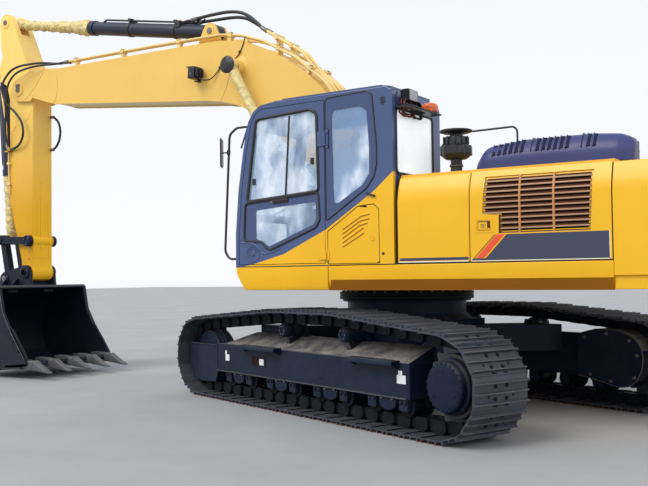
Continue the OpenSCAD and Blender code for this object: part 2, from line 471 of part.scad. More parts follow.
// loop of hose behind the arm: [x, z], both ends in its rear plate
arm_loop = [[5929, 3720], [5880, 3718], [5825, 3690], [5770, 3640], [5735, 3570], [5722, 3490], [5733, 3405], [5765, 3330], [5815, 3275], [5880, 3242], [5929, 3240]];
module arm_hose() color(black) swept([for (q = arm_loop) [q.x, -150, q.y]], 17);
module arm() color(yellow) difference() {
    union() {
        slab([[5930, 1560], [5930, 3850], [5945, 4220], [6400, 5180], [6450, 5255], [6540, 5285], [6630, 5250], [6675, 5150], [6650, 4800], [6560, 4400], [6445, 3990], [6440, 2500], [6185, 1620], [6165, 1430], [6110, 1345], [6035, 1322], [5960, 1350], [5915, 1430]], -arm_hw, arm_hw);
        cross(tip, 122, -178, 178);
        cross(nose, 150, -172, 172);
        cross(tip_link, 85, -178, 178);
        cross(tip_link, 40, -240, 240);
        both() slab([[6500, 4180], [6650, 4760], [6760, 4500], [6850, 4470], [6870, 4390], [6830, 4320], [6740, 4310]], 76, 112);
        cross(curl_hi, 38, -124, 124);
    }
    cross(nose, pin_r + 0.4, -300, 300);
    cross(tip, pin_r + 0.4, -300, 300);
    // fork for the arm cylinder's eye
    slab([[6760, 5400], [5500, 5400], [5500, 4240], [5985, 4360], [6300, 4960], [6760, 4960]], -76, 76);
}

// ---------- bucket ----------
bucket_side = [[5900, 1250], [5830, 900], [5660, 630], [5372, 262], [5340, 200], [5400, 178], [6330, 72], [6560, 110], [6760, 260], [6850, 480], [6850, 720], [6760, 950], [6560, 1130], [6100, 1262]];
bucket_room = [[5840, 1225], [5770, 900], [5600, 630], [5300, 245], [5420, 212], [6330, 104], [6545, 140], [6730, 280], [6818, 485], [6818, 715], [6732, 932], [6545, 1102], [6095, 1230]];
ear = [[5905, 1230], [5930, 1465], [5955, 1522], [6000, 1549], [6060, 1552], [6130, 1530], [6510, 1456], [6580, 1400], [6640, 1050]];
module bucket_shell() difference() { slab(bucket_side, -bucket_hw, bucket_hw); slab(bucket_room, -bucket_hw + 28, bucket_hw - 28); }
module bucket() color(navy) {
    bucket_shell();
    difference() {
        union() { both() slab(ear, 186, 232); both() cross(tip, 100, 186, 246); both() cross(heel, 90, 186, 240); }
        slab(bucket_room, -300, 300);
    }
    cross(tip, pin_r, -262, 262);
    // torsion tube along the mouth's upper edge
    bar([[-bucket_hw, 1238], [bucket_hw, 1238], [bucket_hw, 1262], [-bucket_hw, 1262]], 5900, 6000);
}
// five teeth with their adapters: y of each middle
tooth_y = [for (i = [-2:2]) i * (bucket_hw - 70) / 2];
module bucket_teeth() color(steel) for (y = tooth_y) difference() {
    slab([[5520, 268], [5280, 262], [4960, 118], [4950, 98], [5180, 128], [5500, 148]], y - 48, y + 48);
    bucket_shell();
}

// ---------- links ----------
module link_plate(p, q, rp, rq) { a = atan2(q.y - p.y, q.x - p.x); n = norm(q - p); translate([p.x, p.y]) rotate(a) polygon([[0, -rp * 0.7], [n, -rq * 0.7], [n, rq * 0.7], [0, rp * 0.7]]); }
module idler_links() color(navy) difference() {
    both() {
        translate([0, 228, 0]) rotate([90, 0, 0]) linear_extrude(42) link_plate(tip_link, elbow, 78, 72);
        cross(tip_link, 78, 186, 232);
        cross(elbow, 72, 186, 236);
        cross(elbow, 38, 72, 200);
    }
    cross(tip_link, 40.4, -300, 300);
}
module bucket_link() color(navy) difference() {
    union() {
        both() { translate([0, 172, 0]) rotate([90, 0, 0]) linear_extrude(92) link_plate(elbow, heel, 72, 78); cross(elbow, 74, 80, 174); }
        cross(heel, 76, -172, 172);
    }
    cross(elbow, 38.4, -300, 300);
}

// ---------- cylinders ----------
// barrel with eye, head and end; rod with eye
module barrel(p, q, y, r, l, eye_w, bore, bore_r) difference() {
    union() { along(p, q, y, r, 142, l); along(p, q, y, r + 12, l - 90, l); along(p, q, y, eye_w / 2 - 4, 0, 145); cross(p, r + 5, y - eye_w / 2, y + eye_w / 2); }
    along(p, q, y, bore_r, 165, l + 10);
    cross(p, bore, y - 200, y + 200);
}
module rod(p, q, y, r, a, eye_r, eye_w) {
    n = norm(q - p);
    along(p, q, y, r, a, n - 20);
    cross(q, eye_r, y - eye_w / 2, y + eye_w / 2);
}
lift_y = 385;
module boom_cylinders() color(navy) both() barrel(lift_lo, lift_hi, lift_y, 85, 1500, 108, 45.4, 48);
module boom_rods() color(cream) both() { rod(lift_lo, lift_hi, lift_y, 47, 830, 78, 108); cross(lift_hi, 48, lift_y - 56, lift_y + 74); }
module arm_cylinder() color(navy) barrel(crowd_lo, tail, 0, 92, 2260, 138, 40.4, 52);
module arm_rod() color(cream) rod(crowd_lo, tail, 0, 51, 1600, 78, 116);
module bucket_cylinder() color(navy) barrel(curl_hi, elbow, 0, 78, 1500, 136, 38.4, 44);
module bucket_rod() color(cream) rod(curl_hi, elbow, 0, 43, 700, 66, 118);

carbody();
slew_ring();
track_frame_left();
track_frame_right();
track_left();
track_right();
idlers();
sprockets();
final_drives();
track_rollers();
carrier_rollers();
track_steps();
swing_bearing();
deck_plate();
deck_rails();
main_frame();
side_skirts();
counterweight();
house_frame();
engine_block();
cooler_pack();
swing_motor();
control_valve();
fuel_tank();
hydraulic_tank();
tool_box();
cab_body();
cab_roof();
cab_glass();
operator_seat();
cab_controls();
pre_cleaner();
exhaust_stack();
grab_rails();
mirrors();
beacon();
engine_hood();
side_door_front();
side_door_rear();
pump_door();
filter_door();
tool_box_lid();
cab_door();
cab_door_glass();
boom();
boom_pipes();
arch_hose_left();
arch_hose_right();
arm_hose();
arm();
bucket();
bucket_teeth();
idler_links();
bucket_link();
boom_cylinders();
boom_rods();
arm_cylinder();
arm_rod();
bucket_cylinder();
bucket_rod();
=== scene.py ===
import bpy, bmesh, json, math, random
import numpy as np
from mathutils import Vector, Matrix


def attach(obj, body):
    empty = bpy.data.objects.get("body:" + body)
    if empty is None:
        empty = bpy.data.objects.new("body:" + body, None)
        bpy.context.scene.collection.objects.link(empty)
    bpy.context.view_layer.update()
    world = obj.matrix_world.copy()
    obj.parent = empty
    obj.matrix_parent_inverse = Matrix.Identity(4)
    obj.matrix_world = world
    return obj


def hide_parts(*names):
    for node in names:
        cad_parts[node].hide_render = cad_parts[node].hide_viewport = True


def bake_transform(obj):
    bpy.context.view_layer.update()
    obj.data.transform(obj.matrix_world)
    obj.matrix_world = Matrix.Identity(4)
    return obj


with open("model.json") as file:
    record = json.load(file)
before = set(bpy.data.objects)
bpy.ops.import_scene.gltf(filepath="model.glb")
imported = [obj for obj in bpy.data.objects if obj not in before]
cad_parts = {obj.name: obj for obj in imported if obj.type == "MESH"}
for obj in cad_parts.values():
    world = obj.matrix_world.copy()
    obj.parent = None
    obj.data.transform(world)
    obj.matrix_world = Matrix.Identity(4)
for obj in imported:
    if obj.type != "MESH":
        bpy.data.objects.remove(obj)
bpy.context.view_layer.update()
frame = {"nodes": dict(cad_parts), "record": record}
SC = bpy.context.scene
RND = random.Random(7)
TILT = math.radians(21)          # undercarriage turned under the upper works
SLEW_U = 0.137

# ------------------------------------------------------------------ camera
# The camera stands at the photograph's place; size of the image 648 x 486
CAM = Vector((-4.6196, 8.7036, 1.3449))
HEAD, PITCH, ROLL = math.radians(-56.86), math.radians(1.96), math.radians(-0.69)
F_PX, PPX, PPY = 901.93, 324.0, 245.12


def make_camera():
    d = Vector((math.cos(HEAD) * math.cos(PITCH), math.sin(HEAD) * math.cos(PITCH), math.sin(PITCH)))
    right = Vector((math.sin(HEAD), -math.cos(HEAD), 0))
    up = right.cross(d)
    r = right * math.cos(ROLL) + up * math.sin(ROLL)
    u = -right * math.sin(ROLL) + up * math.cos(ROLL)
    cam = bpy.data.cameras.new("camera")
    o = bpy.data.objects.new("camera", cam)
    SC.collection.objects.link(o)
    o.matrix_world = Matrix(((r.x, u.x, -d.x, CAM.x), (r.y, u.y, -d.y, CAM.y), (r.z, u.z, -d.z, CAM.z), (0, 0, 0, 1)))
    cam.sensor_width = 36
    cam.lens = F_PX * 36 / 648
    cam.shift_y = (PPY - 243) / 648
    cam.clip_start, cam.clip_end = 0.05, 500
    SC.camera = o


make_camera()

# ------------------------------------------------------------------ materials


def ramp(nt, fac, stops, mode="LINEAR"):
    n = nt.nodes.new("ShaderNodeValToRGB")
    n.color_ramp.interpolation = mode
    e = n.color_ramp.elements
    while len(e) < len(stops):
        e.new(0.5)
    for el, (p, c) in zip(e, stops):
        el.position = p
        el.color = (c, c, c, 1) if not isinstance(c, (tuple, list)) else (*c, 1)
    nt.links.new(fac, n.inputs[0])
    return n.outputs[0]


def maths(nt, op, a, b=None, clamp=False):
    n = nt.nodes.new("ShaderNodeMath")
    n.operation, n.use_clamp = op, clamp
    for i, v in enumerate((a, b)):
        if v is None:
            continue
        if isinstance(v, (int, float)):
            n.inputs[i].default_value = v
        else:
            nt.links.new(v, n.inputs[i])
    return n.outputs[0]


def mixc(nt, fac, a, b, mode="MIX"):
    n = nt.nodes.new("ShaderNodeMix")
    n.data_type, n.blend_type = "RGBA", mode
    for k, v in ((0, fac), (6, a), (7, b)):
        if isinstance(v, (int, float)):
            n.inputs[k].default_value = v
        elif isinstance(v, tuple):
            n.inputs[k].default_value = (*v, 1)
        else:
            nt.links.new(v, n.inputs[k])
    return n.outputs[2]


def noise(nt, co, scale, detail=3, rough=.55, stretch=None):
    if stretch:
        m = nt.nodes.new("ShaderNodeMapping")
        m.inputs["Scale"].default_value = stretch
        nt.links.new(co, m.inputs[0])
        co = m.outputs[0]
    n = nt.nodes.new("ShaderNodeTexNoise")
    n.inputs["Scale"].default_value, n.inputs["Detail"].default_value, n.inputs["Roughness"].default_value = scale, detail, rough
    nt.links.new(co, n.inputs["Vector"])
    return n.outputs[0]


def base_mat(name):
    m = bpy.data.materials.new(name)
    m.use_nodes = True
    nt = m.node_tree
    b = nt.nodes["Principled BSDF"]
    tc = nt.nodes.new("ShaderNodeTexCoord")
    return m, nt, b, tc


def paint(name, base, rough=.38, metal=0.0, coat=0.0, var=.10, vscale=.9, bump=.015, bscale=130, dust=0.0, dust_col=(.36, .30, .22),
          low=None, streak=0.0, spec=.5, scratch=0.0, scratch_col=(.45, .44, .42), mask=None, rim=None):
    """Painted or bare metal: broad shade changes, fine grain, dust on what faces up, dirt near the ground, streaks and scratches."""
    m, nt, b, tc = base_mat(name)
    co = tc.outputs["Object"]
    if mask:
        col = mask(nt, tc, base)
    else:
        col = mixc(nt, 0.0, base, base)
    big = noise(nt, co, vscale, 4)
    shade = ramp(nt, big, [(.30, 1 - var), (.70, 1 + var * .6)])
    col = mixc(nt, 1.0, col, shade, "MULTIPLY")
    fine = noise(nt, co, 46, 4, .65)
    r = maths(nt, "ADD", rough - .09, maths(nt, "MULTIPLY", fine, .18))
    if streak:
        s = noise(nt, co, 2.4, 3, .6, (9, 9, .55))
        sm = maths(nt, "MULTIPLY", ramp(nt, s, [(.50, 0), (.74, 1)]), streak)
        col = mixc(nt, sm, col, tuple(c * .45 for c in dust_col))
    if scratch:
        s = noise(nt, co, 5.0, 5, .75, (1.2, 1.2, 9))
        sm = maths(nt, "MULTIPLY", ramp(nt, s, [(.60, 0), (.68, 1)]), scratch)
        col = mixc(nt, sm, col, scratch_col)
    if dust:
        sep = nt.nodes.new("ShaderNodeSeparateXYZ")
        nt.links.new(tc.outputs["Normal"], sep.inputs[0])
        up = ramp(nt, sep.outputs[2], [(.15, .04), (.85, 1)])
        dn = ramp(nt, noise(nt, co, 7, 5, .7), [(.35, .25), (.65, 1)])
        dm = maths(nt, "MULTIPLY", maths(nt, "MULTIPLY", up, dn), dust, True)
        col = mixc(nt, dm, col, dust_col)
        r = maths(nt, "ADD", r, maths(nt, "MULTIPLY", dm, .35), True)
    if low:
        sep = nt.nodes.new("ShaderNodeSeparateXYZ")
        nt.links.new(co, sep.inputs[0])
        z0, z1, amt, lcol = low
        g = maths(nt, "DIVIDE", maths(nt, "SUBTRACT", z1, sep.outputs[2]), z1 - z0, True)
        g = maths(nt, "MULTIPLY", maths(nt, "MULTIPLY", g, ramp(nt, noise(nt, co, 9, 6, .7), [(.35, .15), (.62, 1)])), amt, True)
        col = mixc(nt, g, col, lcol)
        r = maths(nt, "ADD", r, maths(nt, "MULTIPLY", g, .4), True)
    if rim:
        sep = nt.nodes.new("ShaderNodeSeparateXYZ")
        nt.links.new(co, sep.inputs[0])
        z1, amt, rcol = rim
        g = maths(nt, "MULTIPLY", maths(nt, "DIVIDE", maths(nt, "SUBTRACT", z1, sep.outputs[2]), z1 * .4, True), amt, True)
        col = mixc(nt, g, col, rcol)
    nt.links.new(col, b.inputs["Base Color"])
    nt.links.new(r, b.inputs["Roughness"])
    b.inputs["Metallic"].default_value = metal
    b.inputs["Specular IOR Level"].default_value = spec
    if coat:
        b.inputs["Coat Weight"].default_value = coat
        b.inputs["Coat Roughness"].default_value = .12
    if bump:
        bp = nt.nodes.new("ShaderNodeBump")
        bp.inputs["Strength"].default_value = min(1, bump * 10)
        bp.inputs["Distance"].default_value = .0015
        nt.links.new(noise(nt, co, bscale, 4, .6), bp.inputs["Height"])
        nt.links.new(bp.outputs[0], b.inputs["Normal"])
    return m


YEL = (.820, .440, .004)
# paler copy of the yellow paint for the boom: painted light, as if more brightly lit
PALE_PAINTED_LIGHT = (.830, .520, .104)
NAVY = (.055, .086, .200)
DARK = (.0050, .0115, .0330)

# edge of the dark paint on the cab's sides: height over x
CAB_EDGE = [(-.70, 2.315), (-.646, 2.275), (-.466, 2.126), (-.298, 2.018), (.065, 1.789), (.562, 1.566), (.946, 1.469), (1.108, 1.443), (1.2, 1.43)]


def cab_two_tone(nt, tc, base):
    sep = nt.nodes.new("ShaderNodeSeparateXYZ")
    nt.links.new(tc.outputs["Object"], sep.inputs[0])
    x0, x1 = CAB_EDGE[0][0], CAB_EDGE[-1][0]
    fac = maths(nt, "DIVIDE", maths(nt, "SUBTRACT", sep.outputs[0], x0), x1 - x0, True)
    h = ramp(nt, fac, [((x - x0) / (x1 - x0), z - 1.4) for x, z in CAB_EDGE])
    below = maths(nt, "LESS_THAN", maths(nt, "SUBTRACT", sep.outputs[2], 1.4), h)
    side = maths(nt, "GREATER_THAN", sep.outputs[1], 1.448)
    front = maths(nt, "LESS_THAN", sep.outputs[0], 1.16)
    return mixc(nt, maths(nt, "MULTIPLY", maths(nt, "MULTIPLY", below, side), front), base, YEL)


# Painted light on the arm's paint: lighter towards the top, and faces turned to the rear lighter still, as if lit.
def arm_painted_light(nt, tc, base):
    sep = nt.nodes.new("ShaderNodeSeparateXYZ")
    nt.links.new(tc.outputs["Object"], sep.inputs[0])
    h = maths(nt, "DIVIDE", maths(nt, "SUBTRACT", sep.outputs[2], 2.3), 1.9, True)
    col = mixc(nt, h, base, (1.0, .68, .175))
    nr = nt.nodes.new("ShaderNodeSeparateXYZ")
    nt.links.new(tc.outputs["Normal"], nr.inputs[0])
    rear = maths(nt, "LESS_THAN", nr.outputs[0], -.7)
    return mixc(nt, rear, col, mixc(nt, h, (1.0, .54, .012), (1.0, .68, .21)))


M = {}
M["yellow"] = paint("paint_yellow", YEL, .34, coat=.16, var=.05, dust=.05, dust_col=(.62, .44, .16), streak=.03, spec=.35)
M["yellow_old"] = paint("paint_yellow_frame", (.80, .43, .02), .45, var=.10, dust=.35, dust_col=(.42, .33, .20), streak=.10)
# boom: the yellow paint made paler, which is painted light
M["boom"] = paint("paint_boom", PALE_PAINTED_LIGHT, .40, coat=.15, var=.06, dust=.14, dust_col=(.70, .55, .30), streak=.05)
M["cream"] = paint("paint_pipes", (.83, .60, .22), .42, var=.10, dust=.2, dust_col=(.55, .42, .25))
M["navy"] = paint("paint_cab", NAVY, .34, coat=.18, var=.10, dust=.10, dust_col=(.18, .20, .27), spec=.4)
M["cab"] = paint("paint_cab_two_tone", NAVY, .34, coat=.16, var=.08, dust=.08, dust_col=(.18, .20, .27), mask=cab_two_tone, spec=.38)
M["hood"] = paint("paint_hood", (.036, .044, .150), .42, coat=.08, var=.12, dust=.08, dust_col=(.20, .21, .32), spec=.3)
M["under"] = paint("paint_undercarriage", DARK, .42, var=.20, vscale=1.6, dust=.55, dust_col=(.110, .106, .102), low=(0, .75, .08, (.060, .055, .050)), scratch=.04, scratch_col=(.20, .20, .20), spec=.15)
M["beam"] = paint("paint_track_frame", DARK, .42, var=.20, vscale=1.6, dust=.95, dust_col=(.30, .275, .25), low=(0, .75, .05, (.060, .055, .050)), scratch=.04, scratch_col=(.20, .20, .20), spec=.14)
# darker copy of the undercarriage paint for the slewing ring, bearing ring and track rollers: painted shade
M["deep"] = paint("undercarriage_painted_shade", (.0035, .0055, .0125), .5, var=.20, dust=.12, dust_col=(.05, .05, .05), spec=.15)
M["track"] = paint("track_steel", (.050, .057, .078), .46, metal=.35, var=.25, vscale=4, dust=.30, dust_col=(.115, .112, .108), low=(0, .30, .25, (.070, .064, .058)), scratch=.45, scratch_col=(.25, .26, .28), bump=.03, rim=(.016, .85, (.20, .060, .022)))
M["bucket"] = paint("paint_bucket", (.005, .008, .022), .42, var=.25, vscale=2, dust=.12, spec=.25, dust_col=(.07, .066, .06), low=(0, 1.0, .16, (.07, .062, .054)), scratch=.12, scratch_col=(.09, .09, .10))
M["tooth"] = paint("tooth_steel", (.115, .115, .12), .5, metal=.4, var=.25, vscale=9, dust=.25, dust_col=(.16, .14, .12), scratch=.5, scratch_col=(.30, .30, .31), bump=.04)
M["steel"] = paint("bare_steel", (.20, .19, .18), .45, metal=.8, var=.2, vscale=6, dust=.3, dust_col=(.22, .19, .15), scratch=.2)
M["engine"] = paint("engine_cast", (.10, .10, .10), .6, metal=.2, var=.2, dust=.3)
M["black"] = paint("black_satin", (.016, .016, .019), .38, var=.15, dust=.15, dust_col=(.10, .095, .09))
M["rubber"] = paint("rubber_black", (.013, .013, .014), .62, var=.2, vscale=8, dust=.15, dust_col=(.08, .075, .07), bump=.03)
M["hose"] = paint("hose_rubber", (.020, .021, .024), .50, var=.2, vscale=8, dust=.2, dust_col=(.13, .12, .11), bump=.03)
# dark fill for holes, slots, gaps and recesses: painted shade
M["shade_fill"] = paint("painted_shade_fill", (.018, .007, .003), .85, var=.2, spec=.2)
# dark hood slots: painted shade in the openings
M["slot"] = paint("hood_slot_painted_shade", (.012, .010, .034), .7, var=.1, spec=.2)
M["louvre"] = paint("louvre_shade", (.075, .022, .006), .6, var=.12, spec=.25)
# lit edges of the louvres: yellow paint shown as painted light in the shaded grille
M["tan"] = paint("louvre_edge_painted_light", (.42, .235, .130), .5, var=.10)
# grille bars: yellow paint darkened as painted shade
M["mullion"] = paint("grille_bar_painted_shade", (.52, .215, .060), .5, var=.08)
M["brown"] = paint("grille_shade", (.30, .135, .012), .55, var=.1)
M["band"] = paint("band_dark", (.036, .046, .082), .35, coat=.2, var=.04, spec=.4)
M["lamp_black"] = paint("lamp_black", (.006, .006, .009), .55, var=.15, spec=.2)
M["stripe"] = paint("band_orange", (.76, .080, .020), .35, coat=.2, var=.04, spec=.4)
M["line"] = paint("band_line", (.80, .78, .70), .4, var=.03)
M["sticker"] = paint("blank_sticker", (.75, .76, .77), .45, var=.05, dust=.1)
M["floor_mat"] = paint("mat_rubber", (.02, .02, .021), .7, var=.2, dust=.3)
M["plastic"] = paint("cab_plastic", (.055, .057, .062), .55, var=.08, bump=.03, bscale=300)
M["chrome"] = paint("rod_chrome", (.55, .55, .56), .12, metal=1, var=.05, bump=0)


def glass_mat(name, tint, rough=.02, alpha=.30, spec=.6, painted_reflection=0.0, metal=0.0, painted_glow=0.0):
    """Tinted pane; optional whitish patches and runs on it are painted reflections of the bright sky, and an optional
    emission is painted glow.
    """
    m, nt, b, tc = base_mat(name)
    n = noise(nt, tc.outputs["Object"], 2.2, 4)
    col = mixc(nt, ramp(nt, n, [(.35, 0), (.65, 1)]), tint, tuple(c * .82 for c in tint))
    a = maths(nt, "ADD", alpha, maths(nt, "MULTIPLY", noise(nt, tc.outputs["Object"], 5, 5, .7), .10))
    if painted_reflection:
        h = ramp(nt, noise(nt, tc.outputs["Object"], 1.9, 3, .5, (1.5, 1, .8)), [(.46, 0), (.60, 1)])
        f = ramp(nt, noise(nt, tc.outputs["Object"], 7, 3, .6, (1, 1, .6)), [(.35, .55), (.65, 1)])
        h = maths(nt, "MULTIPLY", maths(nt, "MULTIPLY", h, f), painted_reflection, True)
        col = mixc(nt, h, col, (.86, .90, .95))
        a = maths(nt, "ADD", a, maths(nt, "MULTIPLY", h, .45), True)
    nt.links.new(col, b.inputs["Base Color"])
    nt.links.new(a, b.inputs["Alpha"])
    b.inputs["Roughness"].default_value = rough
    b.inputs["Specular IOR Level"].default_value = spec
    b.inputs["Metallic"].default_value = metal
    b.inputs["IOR"].default_value = 1.5
    if painted_glow:        # painted glow: emission stands in for the daylight that a frosted pane lets through; the pane is no lamp
        b.inputs["Emission Color"].default_value = (tint[0] * .93, tint[1], tint[2], 1)
        b.inputs["Emission Strength"].default_value = painted_glow
    return m


# front and side panes: the whitish patches are painted sky reflection and the emission is painted glow; the blue tint
# is partly the glass and partly painted sky reflection
M["glass"] = glass_mat("window_glass", (.46, .63, .88), alpha=.18, painted_reflection=1.0, painted_glow=.10)
M["glass_side"] = glass_mat("side_glass", (.33, .50, .78), alpha=.40, painted_reflection=1.0, painted_glow=.06)
# rear pane: its near-white colour, high alpha and emission are painted light, the bright sky behind it
M["glass_rear"] = glass_mat("rear_glass_painted_sky", (.92, .97, 1.0), .25, alpha=.86, spec=.5, painted_glow=.34)
M["lens"] = glass_mat("lamp_glass", (.85, .86, .85), .08, .45)
M["orange"] = paint("orange_lens", (.80, .13, .020), .20, coat=.6, var=.45, vscale=34)


def wrap_mat(name, base):
    """Creased plastic film wound round a rod."""
    m, nt, b, tc = base_mat(name)
    co = tc.outputs["Object"]
    n = noise(nt, co, 14, 6, .7)
    col = mixc(nt, ramp(nt, n, [(.35, 0), (.65, 1)]), tuple(c * .62 for c in base), base)
    nt.links.new(col, b.inputs["Base Color"])
    b.inputs["Roughness"].default_value = .30
    b.inputs["Subsurface Weight"].default_value = .05
    bp = nt.nodes.new("ShaderNodeBump")
    bp.inputs["Strength"].default_value = .8
    bp.inputs["Distance"].default_value = .012
    nt.links.new(noise(nt, co, 30, 6, .72), bp.inputs["Height"])
    nt.links.new(bp.outputs[0], b.inputs["Normal"])
    return m


M["wrap"] = wrap_mat("wrap_film", (.86, .68, .28))


def fabric_mat(name, base):
    m, nt, b, tc = base_mat(name)
    co = tc.outputs["Object"]
    w = []
    for ax in ("X", "Z"):
        wv = nt.nodes.new("ShaderNodeTexWave")
        wv.bands_direction = ax
        wv.inputs["Scale"].default_value = 160
        wv.inputs["Distortion"].default_value = .6
        nt.links.new(co, wv.inputs[0])
        w.append(wv.outputs[1])
    weave = maths(nt, "MULTIPLY", w[0], w[1])
    col = mixc(nt, weave, tuple(c * .6 for c in base), tuple(min(1, c * 1.5) for c in base))
    col = mixc(nt, 1.0, col, ramp(nt, noise(nt, co, 6, 3), [(.3, .8), (.7, 1.1)]), "MULTIPLY")
    nt.links.new(col, b.inputs["Base Color"])
    b.inputs["Roughness"].default_value = .9
    b.inputs["Sheen Weight"].default_value = .3
    bp = nt.nodes.new("ShaderNodeBump")
    bp.inputs["Strength"].default_value = .4
    bp.inputs["Distance"].default_value = .001
    nt.links.new(weave, bp.inputs["Height"])
    nt.links.new(bp.outputs[0], b.inputs["Normal"])
    return m


M["fabric"] = fabric_mat("seat_fabric", (.045, .047, .055))

SLOT = {"yellow": "yellow_paint", "yellow_old": "yellow_paint", "boom": "yellow_paint", "cream": "cream_wrap", "navy": "navy_paint", "cab": "navy_paint",
        "hood": "navy_paint", "under": "navy_paint", "track": "worn_steel", "bucket": "navy_paint", "tooth": "worn_steel", "steel": "worn_steel",
        "engine": "worn_steel", "black": "black_paint", "rubber": "dark_plastic", "hose": "hose_rubber", "shade_fill": "black_paint", "brown": "yellow_paint",
        "band": "navy_paint", "stripe": "orange_lens", "line": "cream_wrap", "sticker": "cream_wrap", "floor_mat": "dark_plastic", "plastic": "dark_plastic",
        "chrome": "worn_steel", "glass": "glass", "lens": "glass", "orange": "orange_lens", "wrap": "cream_wrap", "fabric": "seat_fabric"}

M["gasket"] = paint("gasket_rubber", (.010, .011, .014), .45, var=.1)
M["frit"] = paint("glass_border", (.040, .066, .165), .12, coat=.3, var=.05, bump=0, spec=.4)
M["link"] = paint("chain_link", (.0060, .0080, .0140), .6, metal=.1, var=.4, vscale=9, dust=.10, dust_col=(.05, .047, .044), low=(0, .30, .20, (.04, .036, .033)), spec=.15)
M["barrel"] = paint("cylinder_paint", (.0150, .0215, .0460), .36, coat=.12, var=.12, dust=.16, dust_col=(.16, .15, .15), spec=.35)
# arm paint; its mask paints light: lighter towards the top and on the rear faces
M["arm"] = paint("paint_arm", (.670, .340, .006), .40, coat=.04, var=.08, dust=.03, dust_col=(.66, .50, .24), streak=.05, mask=arm_painted_light, spec=.2)
# bright edge strips: partly wear, partly painted highlight
M["grey_edge"] = paint("edge_wear_and_highlight", (.10, .10, .115), .45, metal=.3, var=.3, vscale=12, scratch=.5, scratch_col=(.22, .22, .24))
# fold underside: yellow paint darkened as painted shade
M["fold"] = paint("skirt_fold_painted_shade", (.27, .100, .004), .5, var=.1, dust=.03, spec=.15)
M["film"] = glass_mat("seat_film", (.93, .94, .96), .25, .62)
M["seam"] = paint("panel_gap", (.020, .012, .006), .8, var=.1)
M["wire_red"] = paint("wire_red", (.12, .018, .012), .5, var=.2)
SLOT.update({"gasket": "dark_plastic", "frit": "glass", "grey_edge": "worn_steel", "fold": "yellow_paint", "film": "cream_wrap", "seam": "black_paint", "wire_red": "dark_plastic", "slot": "black_paint", "louvre": "black_paint", "tan": "yellow_paint", "mullion": "yellow_paint", "glass_side": "glass", "glass_rear": "glass", "beam": "navy_paint", "deep": "navy_paint", "link": "worn_steel", "lamp_black": "black_paint", "barrel": "navy_paint", "arm": "yellow_paint"})

# ------------------------------------------------------------------ shapes


class Bag:
    """Collects the faces of one piece; each face has a material and may be smooth."""

    def __init__(s):
        s.v, s.f, s.m, s.names = [], [], [], []

    def add(s, vf, mat, T=None):
        verts, faces = vf
        if mat not in s.names:
            s.names.append(mat)
        k, mi = len(s.v), s.names.index(mat)
        s.v.extend([tuple(T @ Vector(p)) for p in verts] if T is not None else [tuple(p) for p in verts])
        s.f.extend([tuple(i + k for i in f) for f in faces])
        s.m.extend([mi] * len(faces))

    def make(s, name, body, bevel=0.0, seg=2, angle=35, replaces=None, slot=None, sub=0):
        me = bpy.data.meshes.new(name)
        me.from_pydata(s.v, [], s.f)
        for n in s.names:
            me.materials.append(M[n])
        me.polygons.foreach_set("material_index", s.m)
        me.update()
        return finish_piece(name, me, body, bevel, seg, angle, replaces, sub)


def finish_piece(name, me, body, bevel, seg, angle, replaces, sub=0, fix=True):
    bm = bmesh.new()
    bm.from_mesh(me)
    if fix:
        bmesh.ops.recalc_face_normals(bm, faces=bm.faces)
    lim = math.radians(angle)
    for e in bm.edges:
        e.smooth = not (len(e.link_faces) == 2 and e.calc_face_angle(0) > lim) and len(e.link_faces) == 2
    for f in bm.faces:
        f.smooth = True
    bm.to_mesh(me)
    bm.free()
    o = bpy.data.objects.new(name, me)
    SC.collection.objects.link(o)
    if bevel:
        md = o.modifiers.new("edge", "BEVEL")
        md.width, md.segments, md.limit_method, md.angle_limit = bevel, seg, "ANGLE", lim
        md.use_clamp_overlap = True
        md.harden_normals = False
    if sub:
        md = o.modifiers.new("sub", "SUBSURF")
        md.levels = md.render_levels = sub
    if body:
        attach(o, body)
    if replaces:
        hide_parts(*([replaces] if isinstance(replaces, str) else replaces))
    return o


def box(lo, hi):
    (a, b, c), (d, e, f) = lo, hi
    v = [(a, b, c), (d, b, c), (d, e, c), (a, e, c), (a, b, f), (d, b, f), (d, e, f), (a, e, f)]
    return v, [(3, 2, 1, 0), (4, 5, 6, 7), (0, 1, 5, 4), (1, 2, 6, 5), (2, 3, 7, 6), (3, 0, 4, 7)]


def prism(pts, y0, y1):
    """Outline in x and z, from y0 to y1."""
    n = len(pts)
    v = [(x, y0, z) for x, z in pts] + [(x, y1, z) for x, z in pts]
    return v, [tuple(range(n))[::-1], tuple(range(n, 2 * n))] + [(i, (i + 1) % n, n + (i + 1) % n, n + i) for i in range(n)]


def prism_x(pts, x0, x1):
    n = len(pts)
    v = [(x0, y, z) for y, z in pts] + [(x1, y, z) for y, z in pts]
    return v, [tuple(range(n))[::-1], tuple(range(n, 2 * n))] + [(i, (i + 1) % n, n + (i + 1) % n, n + i) for i in range(n)]


def frame_of(d):
    d = Vector(d).normalized()
    a = Vector((0, 0, 1)) if abs(d.z) < .9 else Vector((1, 0, 0))
    u = d.cross(a).normalized()
    return d, u, d.cross(u)


def lathe(p, d, prof, n=32):
    """Turned piece: prof is [(radius, height along d)]."""
    d, u, w = frame_of(d)
    p = Vector(p)
    v, f = [], []
    for r, h in prof:
        for k in range(n):
            a = 2 * math.pi * k / n
            v.append(p + d * h + (u * math.cos(a) + w * math.sin(a)) * r)
    for i in range(len(prof) - 1):
        for k in range(n):
            f.append((i * n + k, i * n + (k + 1) % n, (i + 1) * n + (k + 1) % n, (i + 1) * n + k))
    if prof[0][0] > 1e-6:
        f.append(tuple(range(n))[::-1])
    if prof[-1][0] > 1e-6:
        f.append(tuple(range((len(prof) - 1) * n, len(prof) * n)))
    return v, f


